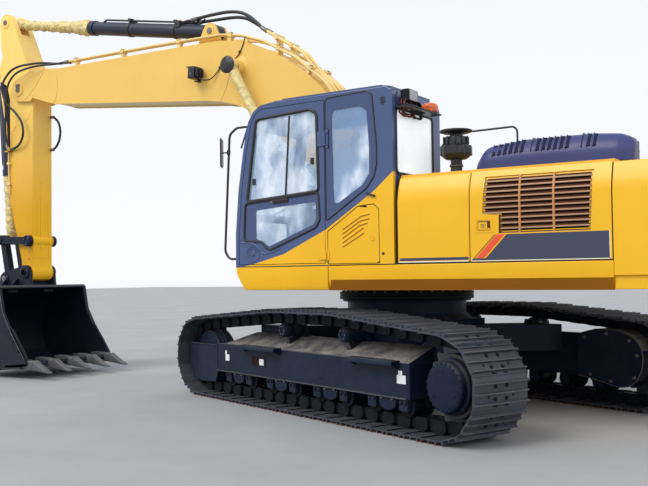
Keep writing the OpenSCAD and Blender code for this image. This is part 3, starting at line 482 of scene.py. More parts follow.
def cyl(p, q, r, n=24, r2=None):
    p, q = Vector(p), Vector(q)
    return lathe(p, q - p, [(r, 0), (r if r2 is None else r2, (q - p).length)], n)


def smooth_path(pts, k=6, closed=False):
    P = [Vector(p) for p in pts]
    n = len(P)
    out = []
    for i in range(n if closed else n - 1):
        p0 = P[(i - 1) % n] if closed or i > 0 else P[0] * 2 - P[1]
        p1, p2 = P[i], P[(i + 1) % n]
        p3 = P[(i + 2) % n] if closed or i + 2 < n else P[-1] * 2 - P[-2]
        for j in range(k):
            t = j / k
            out.append(.5 * ((2 * p1) + (p2 - p0) * t + (2 * p0 - 5 * p1 + 4 * p2 - p3) * t * t + (3 * p1 - p0 - 3 * p2 + p3) * t ** 3))
    if not closed:
        out.append(P[-1])
    return out


def tube(pts, r, n=10, k=0, closed=False, rf=None):
    """Round bar along points; k adds a smooth curve between them; rf(i) scales its radius."""
    P = smooth_path(pts, k, closed) if k else [Vector(p) for p in pts]
    m = len(P)
    T = []
    for i in range(m):
        if closed:
            T.append((P[(i + 1) % m] - P[(i - 1) % m]).normalized())
        else:
            a = (P[i] - P[i - 1]).normalized() if i else (P[1] - P[0]).normalized()
            b = (P[i + 1] - P[i]).normalized() if i < m - 1 else a
            T.append((a + b).normalized())
    _, u, w = frame_of(T[0])
    v, f = [], []
    for i in range(m):
        if i:
            ax = T[i - 1].cross(T[i])
            if ax.length > 1e-9:
                R = Matrix.Rotation(T[i - 1].angle(T[i]), 3, ax)
                u = R @ u
            u = (u - T[i] * u.dot(T[i])).normalized()
            w = T[i].cross(u)
        c = 1.0
        rr = r * (rf(i, m) if rf else c)
        for j in range(n):
            a = 2 * math.pi * j / n
            v.append(P[i] + (u * math.cos(a) + w * math.sin(a)) * rr)
    for i in range(m if closed else m - 1):
        for j in range(n):
            a, b = i * n, ((i + 1) % m) * n
            f.append((a + j, a + (j + 1) % n, b + (j + 1) % n, b + j))
    if not closed:
        f.append(tuple(range(n))[::-1])
        f.append(tuple(range((m - 1) * n, m * n)))
    return v, f


def rounded_path(pts, r, k=5):
    """Polyline with its corners rounded to radius r."""
    P = [Vector(p) for p in pts]
    out = [P[0]]
    for a, b, c in zip(P, P[1:], P[2:]):
        u, w = (a - b).normalized(), (c - b).normalized()
        ang = u.angle(w)
        if ang > math.pi - .02:
            out.append(b)
            continue
        t = min(r / math.tan(ang / 2), (a - b).length * .48, (c - b).length * .48)
        for j in range(k + 1):
            s = j / k
            out.append((b + u * t) * (1 - s) ** 2 + b * 2 * s * (1 - s) + (b + w * t) * s * s)
    return out + [P[-1]]


def round_poly(pts, r, k=4):
    """Closed outline with its corners rounded; pts are pairs."""
    n, out = len(pts), []
    for i in range(n):
        a, b, c = (Vector((*pts[(i + j) % n], 0)) for j in (-1, 0, 1))
        u, w = (a - b), (c - b)
        lu, lw = u.length, w.length
        u, w = u / lu, w / lw
        ang = u.angle(w)
        if ang > math.pi - .05:
            out.append((b.x, b.y))
            continue
        t = min(r / math.tan(ang / 2), lu * .45, lw * .45)
        for j in range(k + 1):
            s = j / k
            q = (b + u * t) * (1 - s) ** 2 + b * 2 * s * (1 - s) + (b + w * t) * s * s
            out.append((q.x, q.y))
    return out


def hexbolt(p, d, r, h):
    return lathe(p, d, [(r, 0), (r, h * .8), (r * .82, h)], 6)


def U(u, v, z):
    """A point of the undercarriage in the shared frame."""
    x, y = u - SLEW_U, v
    return Vector((x * math.cos(TILT) + y * math.sin(TILT), -x * math.sin(TILT) + y * math.cos(TILT), z))


TU = Matrix.Rotation(-TILT, 4, "Z") @ Matrix.Translation((-SLEW_U, 0, 0))


def rounded(node, mat, w, body, seg=2, angle=28, fix=None):
    """The CAD node's own shape with its edges rounded; it stands for the node."""
    src = frame["nodes"][node]
    bm = bmesh.new()
    bm.from_mesh(src.data)
    bmesh.ops.remove_doubles(bm, verts=bm.verts, dist=1e-5)
    bmesh.ops.dissolve_limit(bm, angle_limit=math.radians(1.0), verts=bm.verts, edges=bm.edges)
    if fix:
        fix(bm)
    me = bpy.data.meshes.new(node + "_skin")
    bm.to_mesh(me)
    bm.free()
    me.materials.clear()
    me.materials.append(M[mat])
    me.polygons.foreach_set("material_index", [0] * len(me.polygons))
    return finish_piece(node + "_skin", me, body, w, seg, angle, node, fix=False)


BODY = {n: b for b, ns in frame["record"]["behaviour"]["bodies"].items() for n in ns}


def skin(node, mat, w=0.0, seg=2, **k):
    """A better surface for a CAD node: rounded edges where w is given, or else the node itself with a new material."""
    if w:
        return rounded(node, mat, w, BODY[node], seg, **k)
    o = frame["nodes"][node]
    for s in o.material_slots:
        s.material = M[mat]
    return o

# ------------------------------------------------------------------ undercarriage: tracks
TRACK_HALF, TIP_R, SHOES, GAUGE, SHOE_W = 2.030, 0.450, 48, 1.295, 0.600
PIN_R, PIN_H = TIP_R - .096, .058
WRAPS = [(-TRACK_HALF, TIP_R, PIN_R), (TRACK_HALF, TIP_R, PIN_R), (.450, .795, .074 + PIN_H), (-.570, .795, .074 + PIN_H)]


def chain():
    """Points of the chain pins and the outward direction at each, in u and z."""
    runs, st = [], []
    for i in range(4):
        a, b = WRAPS[i], WRAPS[(i + 1) % 4]
        d = math.hypot(b[0] - a[0], b[1] - a[1])
        an = math.degrees(math.atan2(b[1] - a[1], b[0] - a[0]))
        if an < -1:
            an += 360
        runs.append((an + math.degrees(math.asin((a[2] - b[2]) / d)), math.sqrt(d * d - (a[2] - b[2]) ** 2)))
    for i in range(4):
        st.append((runs[i][1], i, None))
        j = (i + 1) % 4
        t = (runs[j][0] - runs[i][0] + 720) % 360
        st.append((WRAPS[j][2] * math.radians(t), i, j))
    total = sum(s[0] for s in st)

    def at(s):
        s %= total
        for ln, i, j in st:
            if s <= ln:
                an = math.radians(runs[i][0])
                if j is None:
                    w = WRAPS[i]
                    o = (math.sin(an), -math.cos(an))
                    return (w[0] + w[2] * o[0] + s * math.cos(an), w[1] + w[2] * o[1] + s * math.sin(an)), o
                w = WRAPS[j]
                an += s / w[2]
                o = (math.sin(an), -math.cos(an))
                return (w[0] + w[2] * o[0], w[1] + w[2] * o[1]), o
            s -= ln
        return at(0)
    return [at(k * total / SHOES) for k in range(SHOES)]


# section of one shoe: along the chain, height over the pins (m)
SHOE = [(.010, .0560), (-.034, .0450), (-.037, .0475), (-.034, .0525), (-.010, .0600), (.004, .0690), (.013, .069), (.017, .094), (.020, .0955), (.026, .0955), (.029, .094), (.034, .070), (.094, .069), (.098, .088), (.101, .0895), (.107, .0895),
        (.110, .088), (.114, .069), (.174, .069), (.179, .094), (.182, .0955), (.188, .0955), (.191, .094), (.196, .070), (.222, .0705), (.225, .0680), (.222, .0640), (.196, .0580)]


def track(side):
    pts = chain()
    bag = Bag()
    w2 = SHOE_W / 2 - .0005
    yc = side * GAUGE
    for k in range(SHOES):
        (pu, pz), _ = pts[k]
        (qu, qz), _ = pts[(k + 1) % SHOES]
        n = math.hypot(qu - pu, qz - pz)
        ex = (qu - pu) / n, (qz - pz) / n
        up = (ex[1], -ex[0])
        s = n / .2155

        def L(a, h, y):
            return Vector((pu + a * s * ex[0] + h * up[0], yc + y, pz + a * s * ex[1] + h * up[1]))

        def shoe_part(y0, y1, sec):
            m = len(sec)
            v = [L(a, h, y0) for a, h in sec] + [L(a, h, y1) for a, h in sec]
            return v, [tuple(range(m)), tuple(range(m, 2 * m))[::-1]] + [(i, m + i, m + (i + 1) % m, (i + 1) % m) for i in range(m)]
        # plate with clipped corners at its trailing edge
        bag.add(shoe_part(-w2, w2, SHOE), "track", TU)
        # bright strips on the grouser tips: partly wear, partly painted highlight
        for a, h in ((.0180, .0954), (.1010, .0894), (.1820, .0954)):
            bag.add(shoe_part(-w2 + .003, w2 - .003, [(a, h - .003), (a, h + .0005), (a + .0080, h + .0005), (a + .0080, h - .003)]), "grey_edge", TU)
        # links: an inner and an outer rail with bushing and pin bosses
        for yi, yo, sg in ((-.055, -.030, -1), (.055, .030, 1)):
            for (a0, a1, y0, y1) in ((-.052, .118, yi * .78, yi * .78 + sg * .036), (.100, .262, yi * 1.28, yi * 1.28 + sg * .034)):
                sec = [(a0 + .006, .012), (a0 + .007, -.030), (a0 + .022, -.0575), (a1 - .022, -.0575), (a1 - .007, -.030), (a1 - .006, .012), (a1 - .016, .030), (a1 - .040, .036), (a1 - .050, .057), (a0 + .040, .057), (a0 + .032, .036), (a0 + .014, .030)]
                lo, hi = min(y0, y1), max(y0, y1)
                bag.add(shoe_part(lo, hi, sec), "link", TU)
        bag.add(cyl(L(0, 0, -.088), L(0, 0, .088), .024, 12), "link", TU)
        bag.add(cyl(L(0, 0, -.096), L(0, 0, .096), .014, 10), "link", TU)
        # four shoe bolts with their heads inside the outer edge of the links
        up3 = TU.to_3x3() @ Vector((up[0], 0, up[1]))
        for a in (.052, .152):
            for y in (-.062, .062):
                p = TU @ L(a, .0685, y)
                bag.add(hexbolt(p, up3, .017, .011), "link")
        # painted shade: dark patches in the clearance for the links at the joint to the next shoe
        for y in (-.062, .062):
            bag.add(shoe_part(y - .026, y + .026, [(.199, .0698), (.199, .0716), (.213, .0716), (.213, .0698)]), "shade_fill", TU)
        # small mud holes in the plate, shown as dark inserts of painted shade
        for y in (-.135, .135):
            p = TU @ L(.132, .0688, y)
            bag.add(lathe(p, up3, [(.013, 0), (.012, .0012)], 10), "shade_fill")
    name = "track_left" if side > 0 else "track_right"
    bag.make(name + "_chain", "undercarriage", bevel=.0035, seg=1, angle=38, replaces=name, slot="worn_steel")


track(1)
track(-1)


def ring_bolts(bag, c, d, rad, n, r, h, mat, a0=0.0):
    d, u, w = frame_of(d)
    for k in range(n):
        a = a0 + 2 * math.pi * k / n
        bag.add(hexbolt(Vector(c) + (u * math.cos(a) + w * math.sin(a)) * rad, d, r, h), mat)


def undercarriage():
    for side in (1, -1):
        nm = "left" if side > 0 else "right"
        o = Vector((0, side, 0))
        od = TU.to_3x3() @ o
        P = lambda u, v, z: TU @ Vector((u, side * (GAUGE + v), z))
        TS = TU @ Matrix.Translation((0, side * GAUGE, 0)) @ Matrix.Diagonal((1, side, 1, 1))
        # trim of the side beam: flange strips, end plates, front yoke box, gussets, stickers
        b = Bag()
        b.add(prism_x([(.166, .296), (.182, .292), (.185, .300), (.185, .306), (.166, .312)], -1.53, 1.70), "under", TS)          # lower flange
        # bright strips on the flange edges: partly wear, partly painted highlight
        b.add(prism_x([(.183, .298), (.1865, .299), (.1865, .305), (.183, .306)], -1.53, 1.70), "grey_edge", TS)
        b.add(prism_x([(.160, .604), (.171, .598), (.1725, .602), (.163, .608)], -.72, .38), "grey_edge", TS)
        b.add(prism_x([(.160, .604), (.171, .598), (.1725, .602), (.163, .608)], 1.12, 1.56), "grey_edge", TS)
        b.add(prism([(-1.57, .30), (-1.53, .30), (-1.53, .60), (-1.57, .60)], -.168, .172), "under", TS)  # rear end plate
        b.add(prism([(1.70, .300), (1.715, .300), (1.715, .598), (1.70, .598)], .165, .174), "under", TS)   # seam of the cover
        b.add(box((1.742, .168, .560), (2.33, .174, .578)), "under", TS)
        # bolts of the motor guard
        for u, z in ((-1.46, .70), (-1.72, .75), (-2.06, .55), (-1.52, .335), (-1.76, .285), (-1.98, .69), (-2.03, .34)):
            b.add(hexbolt(TS @ Vector((u, -.330, z)), -od, .020, .014), "steel")
        # bright rim of the guard: partly wear, partly painted highlight
        b.add(tube([TS @ Vector((u, -.3302, z)) for u, z in ((-1.366, .315), (-1.50, .300), (-1.69, .266), (-1.80, .240), (-1.93, .244), (-2.028, .293), (-2.088, .372), (-2.121, .47), (-2.115, .60), (-2.058, .688), (-1.984, .737), (-1.90, .772), (-1.82, .785))], .006, 6, 4), "grey_edge")
        # dark access hole with its rim; the dark plate in it is painted shade
        rim = [(.700, .405), (.970, .405), (.970, .505), (.700, .505)]
        b.add(box((.69, .168, .398), (.98, .1735, .512)), "under", TS)
        b.add(box((.715, .1730, .412), (.955, .1745, .498)), "shade_fill", TS)
        # blank stickers
        for q in ((1.440, .420, 1.525, .490), (1.495, .488, 1.530, .530)):
            b.add(box((q[0], .1705, q[1]), (q[2], .1715, q[3])), "sticker", TS)
        for q in ((-1.52, .425, -1.405, .498), (-1.475, .496, -1.425, .535)):
            b.add(box((q[0], .1705, q[1]), (q[2], .1715, q[3])), "sticker", TS)
        b.add(box((.722, .1745, .420), (.806, .1757, .484)), "sticker", TS)
        # gussets under the carrier rollers
        for u in (.450, -.570):
            b.add(prism([(u - .16, .700), (u + .09, .700), (u + .05, .84), (u - .05, .84)], -.158, -.108), "under", TS)
            b.add(prism([(u - .05, .640), (u + .03, .640), (u + .02, .722), (u - .02, .722)], -.104, .05), "black", TS)
        # bolted guards between the track rollers
        for u in (-1.26, -.42, .42, 1.26):
            b.add(prism([(u - .13, .332), (u + .13, .332), (u + .10, .215), (u + .03, .185), (u - .03, .185), (u - .10, .215)], .135, .160), "under", TS)
            for du in (-.07, .07):
                b.add(hexbolt(TS @ Vector((u + du, .160, .285)), od, .014, .012), "steel")
        for k in range(8):
            u = -1.47 + k * .42
            for du in (-.03, .03):
                b.add(hexbolt(TS @ Vector((u + du, .160, .262)), od, .015, .014), "under")
                b.add(hexbolt(TS @ Vector((u + du, .160, .300)), od, .013, .010), "under")
        b.make("beam_trim_" + nm, "undercarriage", bevel=.003, seg=2)
        # rollers, in the darker undercarriage paint that stands as painted shade
        b = Bag()
        for k in range(8):
            c = P(-1.47 + k * .42, 0, .240)
            b.add(lathe(c - od * .120, od, [(.05, -.016), (.062, -.016), (.066, 0), (.083, .003), (.101, .006), (.101, .020), (.085, .026), (.085, .070), (.070, .086), (.070, .154), (.085, .170), (.085, .214), (.101, .220), (.101, .234),
                                           (.083, .237), (.066, .240), (.062, .256), (.05, .256)], 28), "deep")
        b.make("rollers_" + nm, "undercarriage", bevel=0)
        b = Bag()
        for u in (.450, -.570):
            c = P(u, 0, .795)
            b.add(lathe(c - od * .100, od, [(.045, 0), (.070, .002), (.073, .010), (.073, .075), (.066, .085), (.066, .125), (.073, .135), (.073, .190), (.069, .198), (.071, .206), (.062, .212), (.058, .222), (.030, .224), (.028, .216), (.0, .216)], 32), "under")
            ring_bolts(b, c + od * .1215, od, .043, 6, .007, .005, "steel")
        b.make("carriers_" + nm, "undercarriage", bevel=0)
        # final drive: motor guard, hub and domed cover with its ring of bolts
        b = Bag()
        c = P(-TRACK_HALF, 0, TIP_R)
        b.add(lathe(c, od, [(.150, -.330), (.150, -.060), (.229, -.058), (.230, .030), (.262, .034), (.265, .042), (.265, .100), (.260, .110), (.232, .112), (.228, .118), (.228, .150)], 64), "black")
        b.add(lathe(c, od, [(.228, .148), (.228, .150), (.212, .156), (.205, .164), (.205, .200), (.201, .212), (.190, .221), (.172, .226), (.120, .2295), (0, .2299)], 64), "under")
        ring_bolts(b, c + od * .118, od, .2185, 28, .0085, .012, "under")
        ring_bolts(b, c + od * .2180, od, .190, 24, .0075, .010, "under", .1)
        for a in (.6, 2.7, 4.8):
            d, u, w = frame_of(od)
            b.add(hexbolt(c + od * .2275 + (u * math.cos(a) + w * math.sin(a)) * .13, od, .012, .006), "under")
        b.make("final_drive_" + nm, "undercarriage", bevel=0)
    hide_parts("track_rollers")
    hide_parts("carrier_rollers")
    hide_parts("final_drives")
    # steps with raised tread and folded edge
    b = Bag()
    for side in (1, -1):
        TS = TU @ Matrix.Translation((0, side * GAUGE, 0)) @ Matrix.Diagonal((1, side, 1, 1))
        for u0, u1 in ((-1.45, -.80), (.39, 1.10)):
            b.add(prism_x([(.171, .606), (.258, .606), (.262, .600), (.262, .578), (.270, .578), (.270, .612), (.264, .6215), (.171, .6215)], u0, u1), "under", TS)
            for u in (u0 + .02, u1 - .034):
                b.add(prism_x([(.171, .606), (.262, .606), (.262, .596), (.184, .545), (.171, .545)], u, u + .014), "under", TS)
            k = int((u1 - u0 - .06) / .04)
            for i in range(k):
                for j in range(2):
                    b.add(lathe(TS @ Vector((u0 + .05 + i * .04, .197 + j * .038, .6205)), (0, 0, 1), [(.011, 0), (.007, .0035)], 8), "under")
    b.make("step_treads", "undercarriage", bevel=.002, seg=1, replaces="track_steps")


undercarriage()
for n in ("track_frame_left", "track_frame_right"):
    rounded(n, "beam", .008, "undercarriage")
rounded("carbody", "under", .012, "undercarriage")
# slewing ring in the darker paint: painted shade under the house
skin("slew_ring", "deep")
rounded("idlers", "under", .010, "undercarriage")
skin("sprockets", "track")

from mathutils.geometry import tessellate_polygon
from mathutils import noise as mn

# ------------------------------------------------------------------ floor, light
SC.view_settings.view_transform = "Standard"
SC.view_settings.look = "None"
SC.view_settings.exposure = 0.0


def studio():
    m = bpy.data.materials.new("floor")
    m.use_nodes = True
    nt = m.node_tree
    b = nt.nodes["Principled BSDF"]
    tc = nt.nodes.new("ShaderNodeTexCoord")
    n = noise(nt, tc.outputs["Object"], .6, 5, .6)
    nt.links.new(ramp(nt, n, [(.3, (.30, .30, .298)), (.7, (.36, .36, .357))]), b.inputs["Base Color"])
    b.inputs["Roughness"].default_value = .85
    me = bpy.data.meshes.new("floor")
    s = 90
    me.from_pydata([(-s, -s, 0), (s, -s, 0), (s, s, 0), (-s, s, 0)], [], [(0, 1, 2, 3)])
    me.materials.append(m)
    o = bpy.data.objects.new("floor", me)
    SC.collection.objects.link(o)
    w = bpy.data.worlds.new("studio")
    SC.world = w
    w.use_nodes = True
    nt = w.node_tree
    bg = nt.nodes["Background"]
    tc = nt.nodes.new("ShaderNodeTexCoord")
    sep = nt.nodes.new("ShaderNodeSeparateXYZ")
    nt.links.new(tc.outputs["Generated"], sep.inputs[0])
    c = ramp(nt, maths(nt, "MULTIPLY", maths(nt, "ADD", sep.outputs[2], 1), .5), [(.44, (.50, .50, .50)), (.50, (.97, .98, 1.0)), (.62, (.93, .96, 1.0)), (1.0, (.70, .78, .92))])
    nt.links.new(c, bg.inputs[0])
    bg.inputs[1].default_value = 1.0
    for nm, d, e, ang, col in (("key", (.30, .75, .85), 1.9, 32, (1, .97, .92)), ("fill", (-.9, .35, .5), .55, 60, (.95, .97, 1))):
        L = bpy.data.lights.new(nm, "SUN")
        L.energy, L.angle, L.color = e, math.radians(ang), col
        lo = bpy.data.objects.new(nm, L)
        SC.collection.objects.link(lo)
        lo.rotation_euler = Vector(d).to_track_quat("Z", "Y").to_euler()


studio()

def mm(pts):
    return [(a / 1000, b / 1000) for a, b in pts]


def plate(outer, holes, y0, y1):
    """Plate in x and z with holes, from y0 to y1."""
    loops = [outer] + list(holes)
    pts = [p for l in loops for p in l]
    n = len(pts)
    tris = tessellate_polygon([[Vector((x, z, 0)) for x, z in l] for l in loops])
    v = [(x, y0, z) for x, z in pts] + [(x, y1, z) for x, z in pts]
    f = [tuple(t) for t in tris] + [tuple(i + n for i in t)[::-1] for t in tris]
    k = 0
    for l in loops:
        m = len(l)
        f += [(k + i, k + (i + 1) % m, n + k + (i + 1) % m, n + k + i) for i in range(m)]
        k += m
    return v, f


def ring_tube(pts, y, r, n=8, rr=.03):
    return tube([(x, y, z) for x, z in round_poly(pts, rr, 5)], r, n, closed=True)


def offset_poly(pts, d):
    """Closed outline moved outwards by d (inwards when negative)."""
    n = len(pts)
    area = sum(pts[i][0] * pts[(i + 1) % n][1] - pts[(i + 1) % n][0] * pts[i][1] for i in range(n))
    s = 1 if area > 0 else -1
    out = []
    for i in range(n):
        a, b, c = (Vector(pts[(i + j) % n]) for j in (-1, 0, 1))
        u, w = (b - a).normalized(), (c - b).normalized()
        nu, nw = Vector((u.y, -u.x)) * s, Vector((w.y, -w.x)) * s
        m = (nu + nw).normalized()
        out.append(tuple(b + m * (d / max(.4, m.dot(nu)))))
    return out


def interp(tab, s):
    for (a, ra), (b, rb) in zip(tab, tab[1:]):
        if s <= b:
            t = (s - a) / (b - a) if b > a else 0
            return ra + (rb - ra) * max(0, t)
    return tab[-1][1]


def bolts_on(bag, pts, d, r=.010, h=.008, mat="steel"):
    for p in pts:
        bag.add(hexbolt(p, d, r, h), mat)


# ------------------------------------------------------------------ deck, frame, skirts, counterweight
def swing():
    b = Bag()
    # bearing ring in the darker paint: painted shade under the deck
    b.add(lathe((0, 0, 1.093), (0, 0, 1), [(.606, 0), (.718, 0), (.725, .007), (.725, .033), (.716, .036), (.716, .041), (.725, .044), (.725, .072), (.718, .077), (.655, .077), (.655, .122), (.606, .122), (.606, 0)], 96), "deep")
    ring_bolts(b, (0, 0, 1.170), (0, 0, 1), .690, 36, .013, .014, "steel")
    b.add(lathe((.3, -.715, 1.13), (.38, -.92, 0), [(.010, 0), (.010, .02), (.006, .024), (.006, .034), (0, .036)], 10), "steel")
    b.make("swing_bearing_ring", "upper", replaces="swing_bearing", slot="worn_steel")


swing()
rounded("deck_plate", "yellow_old", .004, "upper", 1)
rounded("deck_rails", "yellow_old", .003, "upper", 1)
rounded("main_frame", "yellow_old", .005, "upper", 2)


def soft_corner(bm):
    """Rounds the cut front corner of the left skirt."""
    ed = []
    for e in bm.edges:
        a, c = e.verts[0].co, e.verts[1].co
        m = (a + c) / 2
        if abs(a.x - c.x) < .003 and abs(a.z - c.z) < .02 and abs(a.y - c.y) > .01 and m.y > 1.43 and ((abs(m.x - 1.166) < .006 and 1.37 < m.z < 1.41) or (1.04 < m.x < 1.09 and m.z < 1.26)):
            ed.append(e)
    bmesh.ops.bevel(bm, geom=ed, offset=.055, segments=6, profile=.5, affect="EDGES", clamp_overlap=True)


rounded("side_skirts", "yellow", .006, "upper", 3, fix=soft_corner)
rounded("house_frame", "yellow_old", .003, "upper", 1)
rounded("counterweight", "yellow", .028, "upper", 5)
rounded("engine_block", "engine", .02, "upper", 2)
rounded("cooler_pack", "black", .008, "upper", 2)
rounded("swing_motor", "under", .010, "upper", 2)
rounded("control_valve", "engine", .010, "upper", 2)


def under_deck():
    """What is bolted under the deck and to the block: pipes and the rotary joint."""
    b = Bag()
    b.add(lathe((0, 0, 1.235), (0, 0, -1), [(.11, 0), (.11, .02), (.085, .024), (.085, .14), (.10, .15), (.10, .20), (.06, .21), (.06, .225), (0, .225)], 28), "under")
    for k in range(6):
        a = k * math.pi / 3
        p = Vector((math.cos(a) * .085, math.sin(a) * .085, 1.16))
        d = Vector((math.cos(a), math.sin(a), 0))
        b.add(cyl(p, p + d * .05, .018, 10), "steel")
    b.make("rotary_joint", "upper")
    b = Bag()
    # ribs and fins on the engine, cooling fan ring
    for k in range(6):
        x = -2.42 + k * .145
        b.add(box((x, -.58, 2.088), (x + .09, .28, 2.125)), "engine")
        b.add(cyl((x + .045, -.45, 2.12), (x + .045, -.45, 2.16), .02, 12), "steel")
    b.add(tube([(-2.40, -.50, 2.15), (-1.7, -.50, 2.15), (-1.55, -.35, 2.12), (-1.40, -.2, 2.05)], .035, 12, 5), "hose")
    b.add(lathe((-2.0, .40, 1.75), (0, 1, 0), [(.31, 0), (.32, .02), (.32, .20), (.30, .21), (.29, .03)], 40), "black")
    b.make("engine_details", "upper", bevel=.004, seg=1)


under_deck()


def skirts():
    b = Bag()
    # underside of the fold, painted dark as shade
    v, f = prism_x([(1.4425, 1.2385), (1.4425, 1.2140), (1.4640, 1.2075), (1.4665, 1.2075), (1.4910, 1.3075), (1.4885, 1.3080), (1.4640, 1.2120), (1.4450, 1.2180)], -2.638, .044)
    b.add(([(x - (.030 * (z - 1.2075) / .10 if x > 0 else 0), y, z) for x, y, z in v], f), "fold")
    b.make("skirt_fold_strip", "upper")


skirts()


def counterweight_trim():
    b = Bag()
    # pin in the tow recess
    b.add(cyl((-3.245, 0, 1.36), (-3.245, 0, 1.52), .022, 20), "steel")
    b.add(lathe((-3.245, 0, 1.505), (0, 0, 1), [(.034, 0), (.034, .012), (.020, .020), (0, .020)], 20), "steel")
    # lifting eyes on the top
    for y in (-.8, .8):
        b.add(tube([(-2.95 + .045 * math.cos(t), y, 2.232 + .048 * math.sin(t) * 1.0 + .0) for t in [math.pi * k / 10 for k in range(11)]], .013, 10), "yellow_old")
        b.add(lathe((-2.95, y, 2.229), (0, 0, 1), [(.065, 0), (.065, .006), (.058, .010), (0, .010)], 24), "yellow_old")
    # red reflectors and lamps at the back
    for s in (-1, 1):
        a = math.radians(180 - s * 20)
        c = Vector((3.301 * math.cos(a), 3.301 * math.sin(a), 1.50))
        d = Vector((math.cos(a), math.sin(a), 0))
        b.add(lathe(c - d * .004, d, [(.040, 0), (.040, .006), (.034, .010), (.0, .011)], 24), "orange")
    b.make("counterweight_trim", "upper", bevel=.002, seg=1)


counterweight_trim()

# ------------------------------------------------------------------ tanks, box, right side
rounded("fuel_tank", "yellow", .010, "upper", 3)
rounded("hydraulic_tank", "yellow", .010, "upper", 3)
rounded("tool_box", "yellow", .008, "upper", 2)


def right_side():
    b = Bag()
    # filler cap with a lock, tank bolts and gauges
    b.add(lathe((.25, -1.18, 2.296), (0, 0, 1), [(.072, 0), (.080, .004), (.080, .030), (.074, .038), (.02, .042), (0, .042)], 28), "black")
    b.add(box((.235, -1.26, 2.30), (.265, -1.245, 2.33)), "steel")
    for x in (-.980, -.640):
        ring_bolts(b, (x, -1.05, 2.280), (0, 0, 1), .092, 8, .009, .007, "steel")
        b.add(lathe((x, -1.05, 2.280), (0, 0, 1), [(.05, 0), (.045, .006), (0, .008)], 20), "yellow")
    b.add(box((-.83, -1.4965, 1.62), (-.78, -1.489, 1.86)), "black")
    b.add(box((-.818, -1.4985, 1.64), (-.792, -1.496, 1.84)), "lens")
    for z in (1.60, 1.88):
        b.add(hexbolt((-.805, -1.489, z), (0, -1, 0), .012, .010), "steel")
    # anti-slip treads on the tanks: rows of small cones on plates
    for (x0, x1, y0, y1, z) in ((-.36, .10, -1.36, -.72, 2.262), (.36, .58, -1.36, -.72, 2.262), (.64, 1.35, -1.45, -.74, 1.968), (-1.16, -.42, -.96, -.68, 2.262)):
        b.add(box((x0, y0, z - .001), (x1, y1, z + .004)), "black")
        nx, ny = int((x1 - x0) / .07), int((y1 - y0) / .07)
        for i in range(nx):
            for j in range(ny):
                p = (x0 + .04 + i * .07, y0 + .04 + j * .07, z + .003)
                b.add(lathe(p, (0, 0, 1), [(.014, 0), (.010, .006), (.006, .007)], 8), "black")
    # steps on the front of the box
    for z in (1.62, 1.80):
        b.add(prism([(1.372, z), (1.372, z - .03), (1.385, z - .045), (1.398, z - .045), (1.398, z)], -1.40, -1.05), "black")
    b.make("right_side_details", "upper", bevel=.002, seg=1)
    # lid with a folded rim, hinges and a handle
    b = Bag()
    b.add(box((.612, -1.486, 1.944), (1.376, -.704, 1.968)), "black")
    b.add(box((.612, -1.4865, 1.952), (.616, -.7035, 1.966)), "black")
    for y in (-1.40, -.80):
        b.add(cyl((.608, y - .05, 1.960), (.608, y + .05, 1.960), .008, 12), "steel")
    b.add(tube(rounded_path([(1.30, -1.17, 1.969), (1.30, -1.17, 1.990), (1.30, -1.03, 1.990), (1.30, -1.03, 1.969)], .01), .006, 8), "steel")
    b.make("tool_box_cover", "lid_tool_box", bevel=.004, seg=2, replaces="tool_box_lid")


right_side()


def lean(o, k=1.0):
    """Bends what stands above z 2.0 in towards the middle, as these pressed panels are."""
    bm = bmesh.new()
    bm.from_mesh(o.data)
    for i in range(8):
        bmesh.ops.bisect_plane(bm, geom=bm.verts[:] + bm.edges[:] + bm.faces[:], plane_co=(0, 0, 2.0 + i * .03), plane_no=(0, 0, 1))
    for v in bm.verts:
        if v.co.z > 2.0:
            v.co.y -= math.copysign(.060 * k * ((v.co.z - 2.0) / .235) ** 1.52, v.co.y)
    bm.to_mesh(o.data)
    bm.free()


def pump_door():
    b = Bag()
    slots = [mm([(x, z), (x + 300, z), (x + 300, z + 22), (x, z + 22)]) for x in (-2500, -2130, -1760) for z in range(1900, 2160, 48)]
    b.add(plate(mm([(-2632, 1452), (-1208, 1452), (-1208, 2235), (-2632, 2235)]), [], -1.4895, -1.458), "yellow")
    # each slot: a dark box of painted shade behind a sloped yellow lip
    for s in slots:
        (x0, z0), (x1, _), (_, z1), _ = s
        b.add(box((x0, -1.4905, z0), (x1, -1.4890, z1)), "shade_fill")
        b.add(prism_x([(-1.4895, z1), (-1.4998 + .006, z0 + .004), (-1.4895, z0 - .002)], x0, x1), "yellow")
    b.add(box((-1.33, -1.4915, 1.62), (-1.23, -1.4890, 1.74)), "black")
    b.add(lathe((-1.28, -1.490, 1.68), (0, -1, 0), [(.022, 0), (.020, .004), (.012, .005), (.010, .002), (0, .002)], 16), "steel")
    lean(b.make("pump_door_panel", "door_pump", bevel=.006, seg=2, replaces="pump_door"), .62)


pump_door()

# ------------------------------------------------------------------ left doors of the engine bay


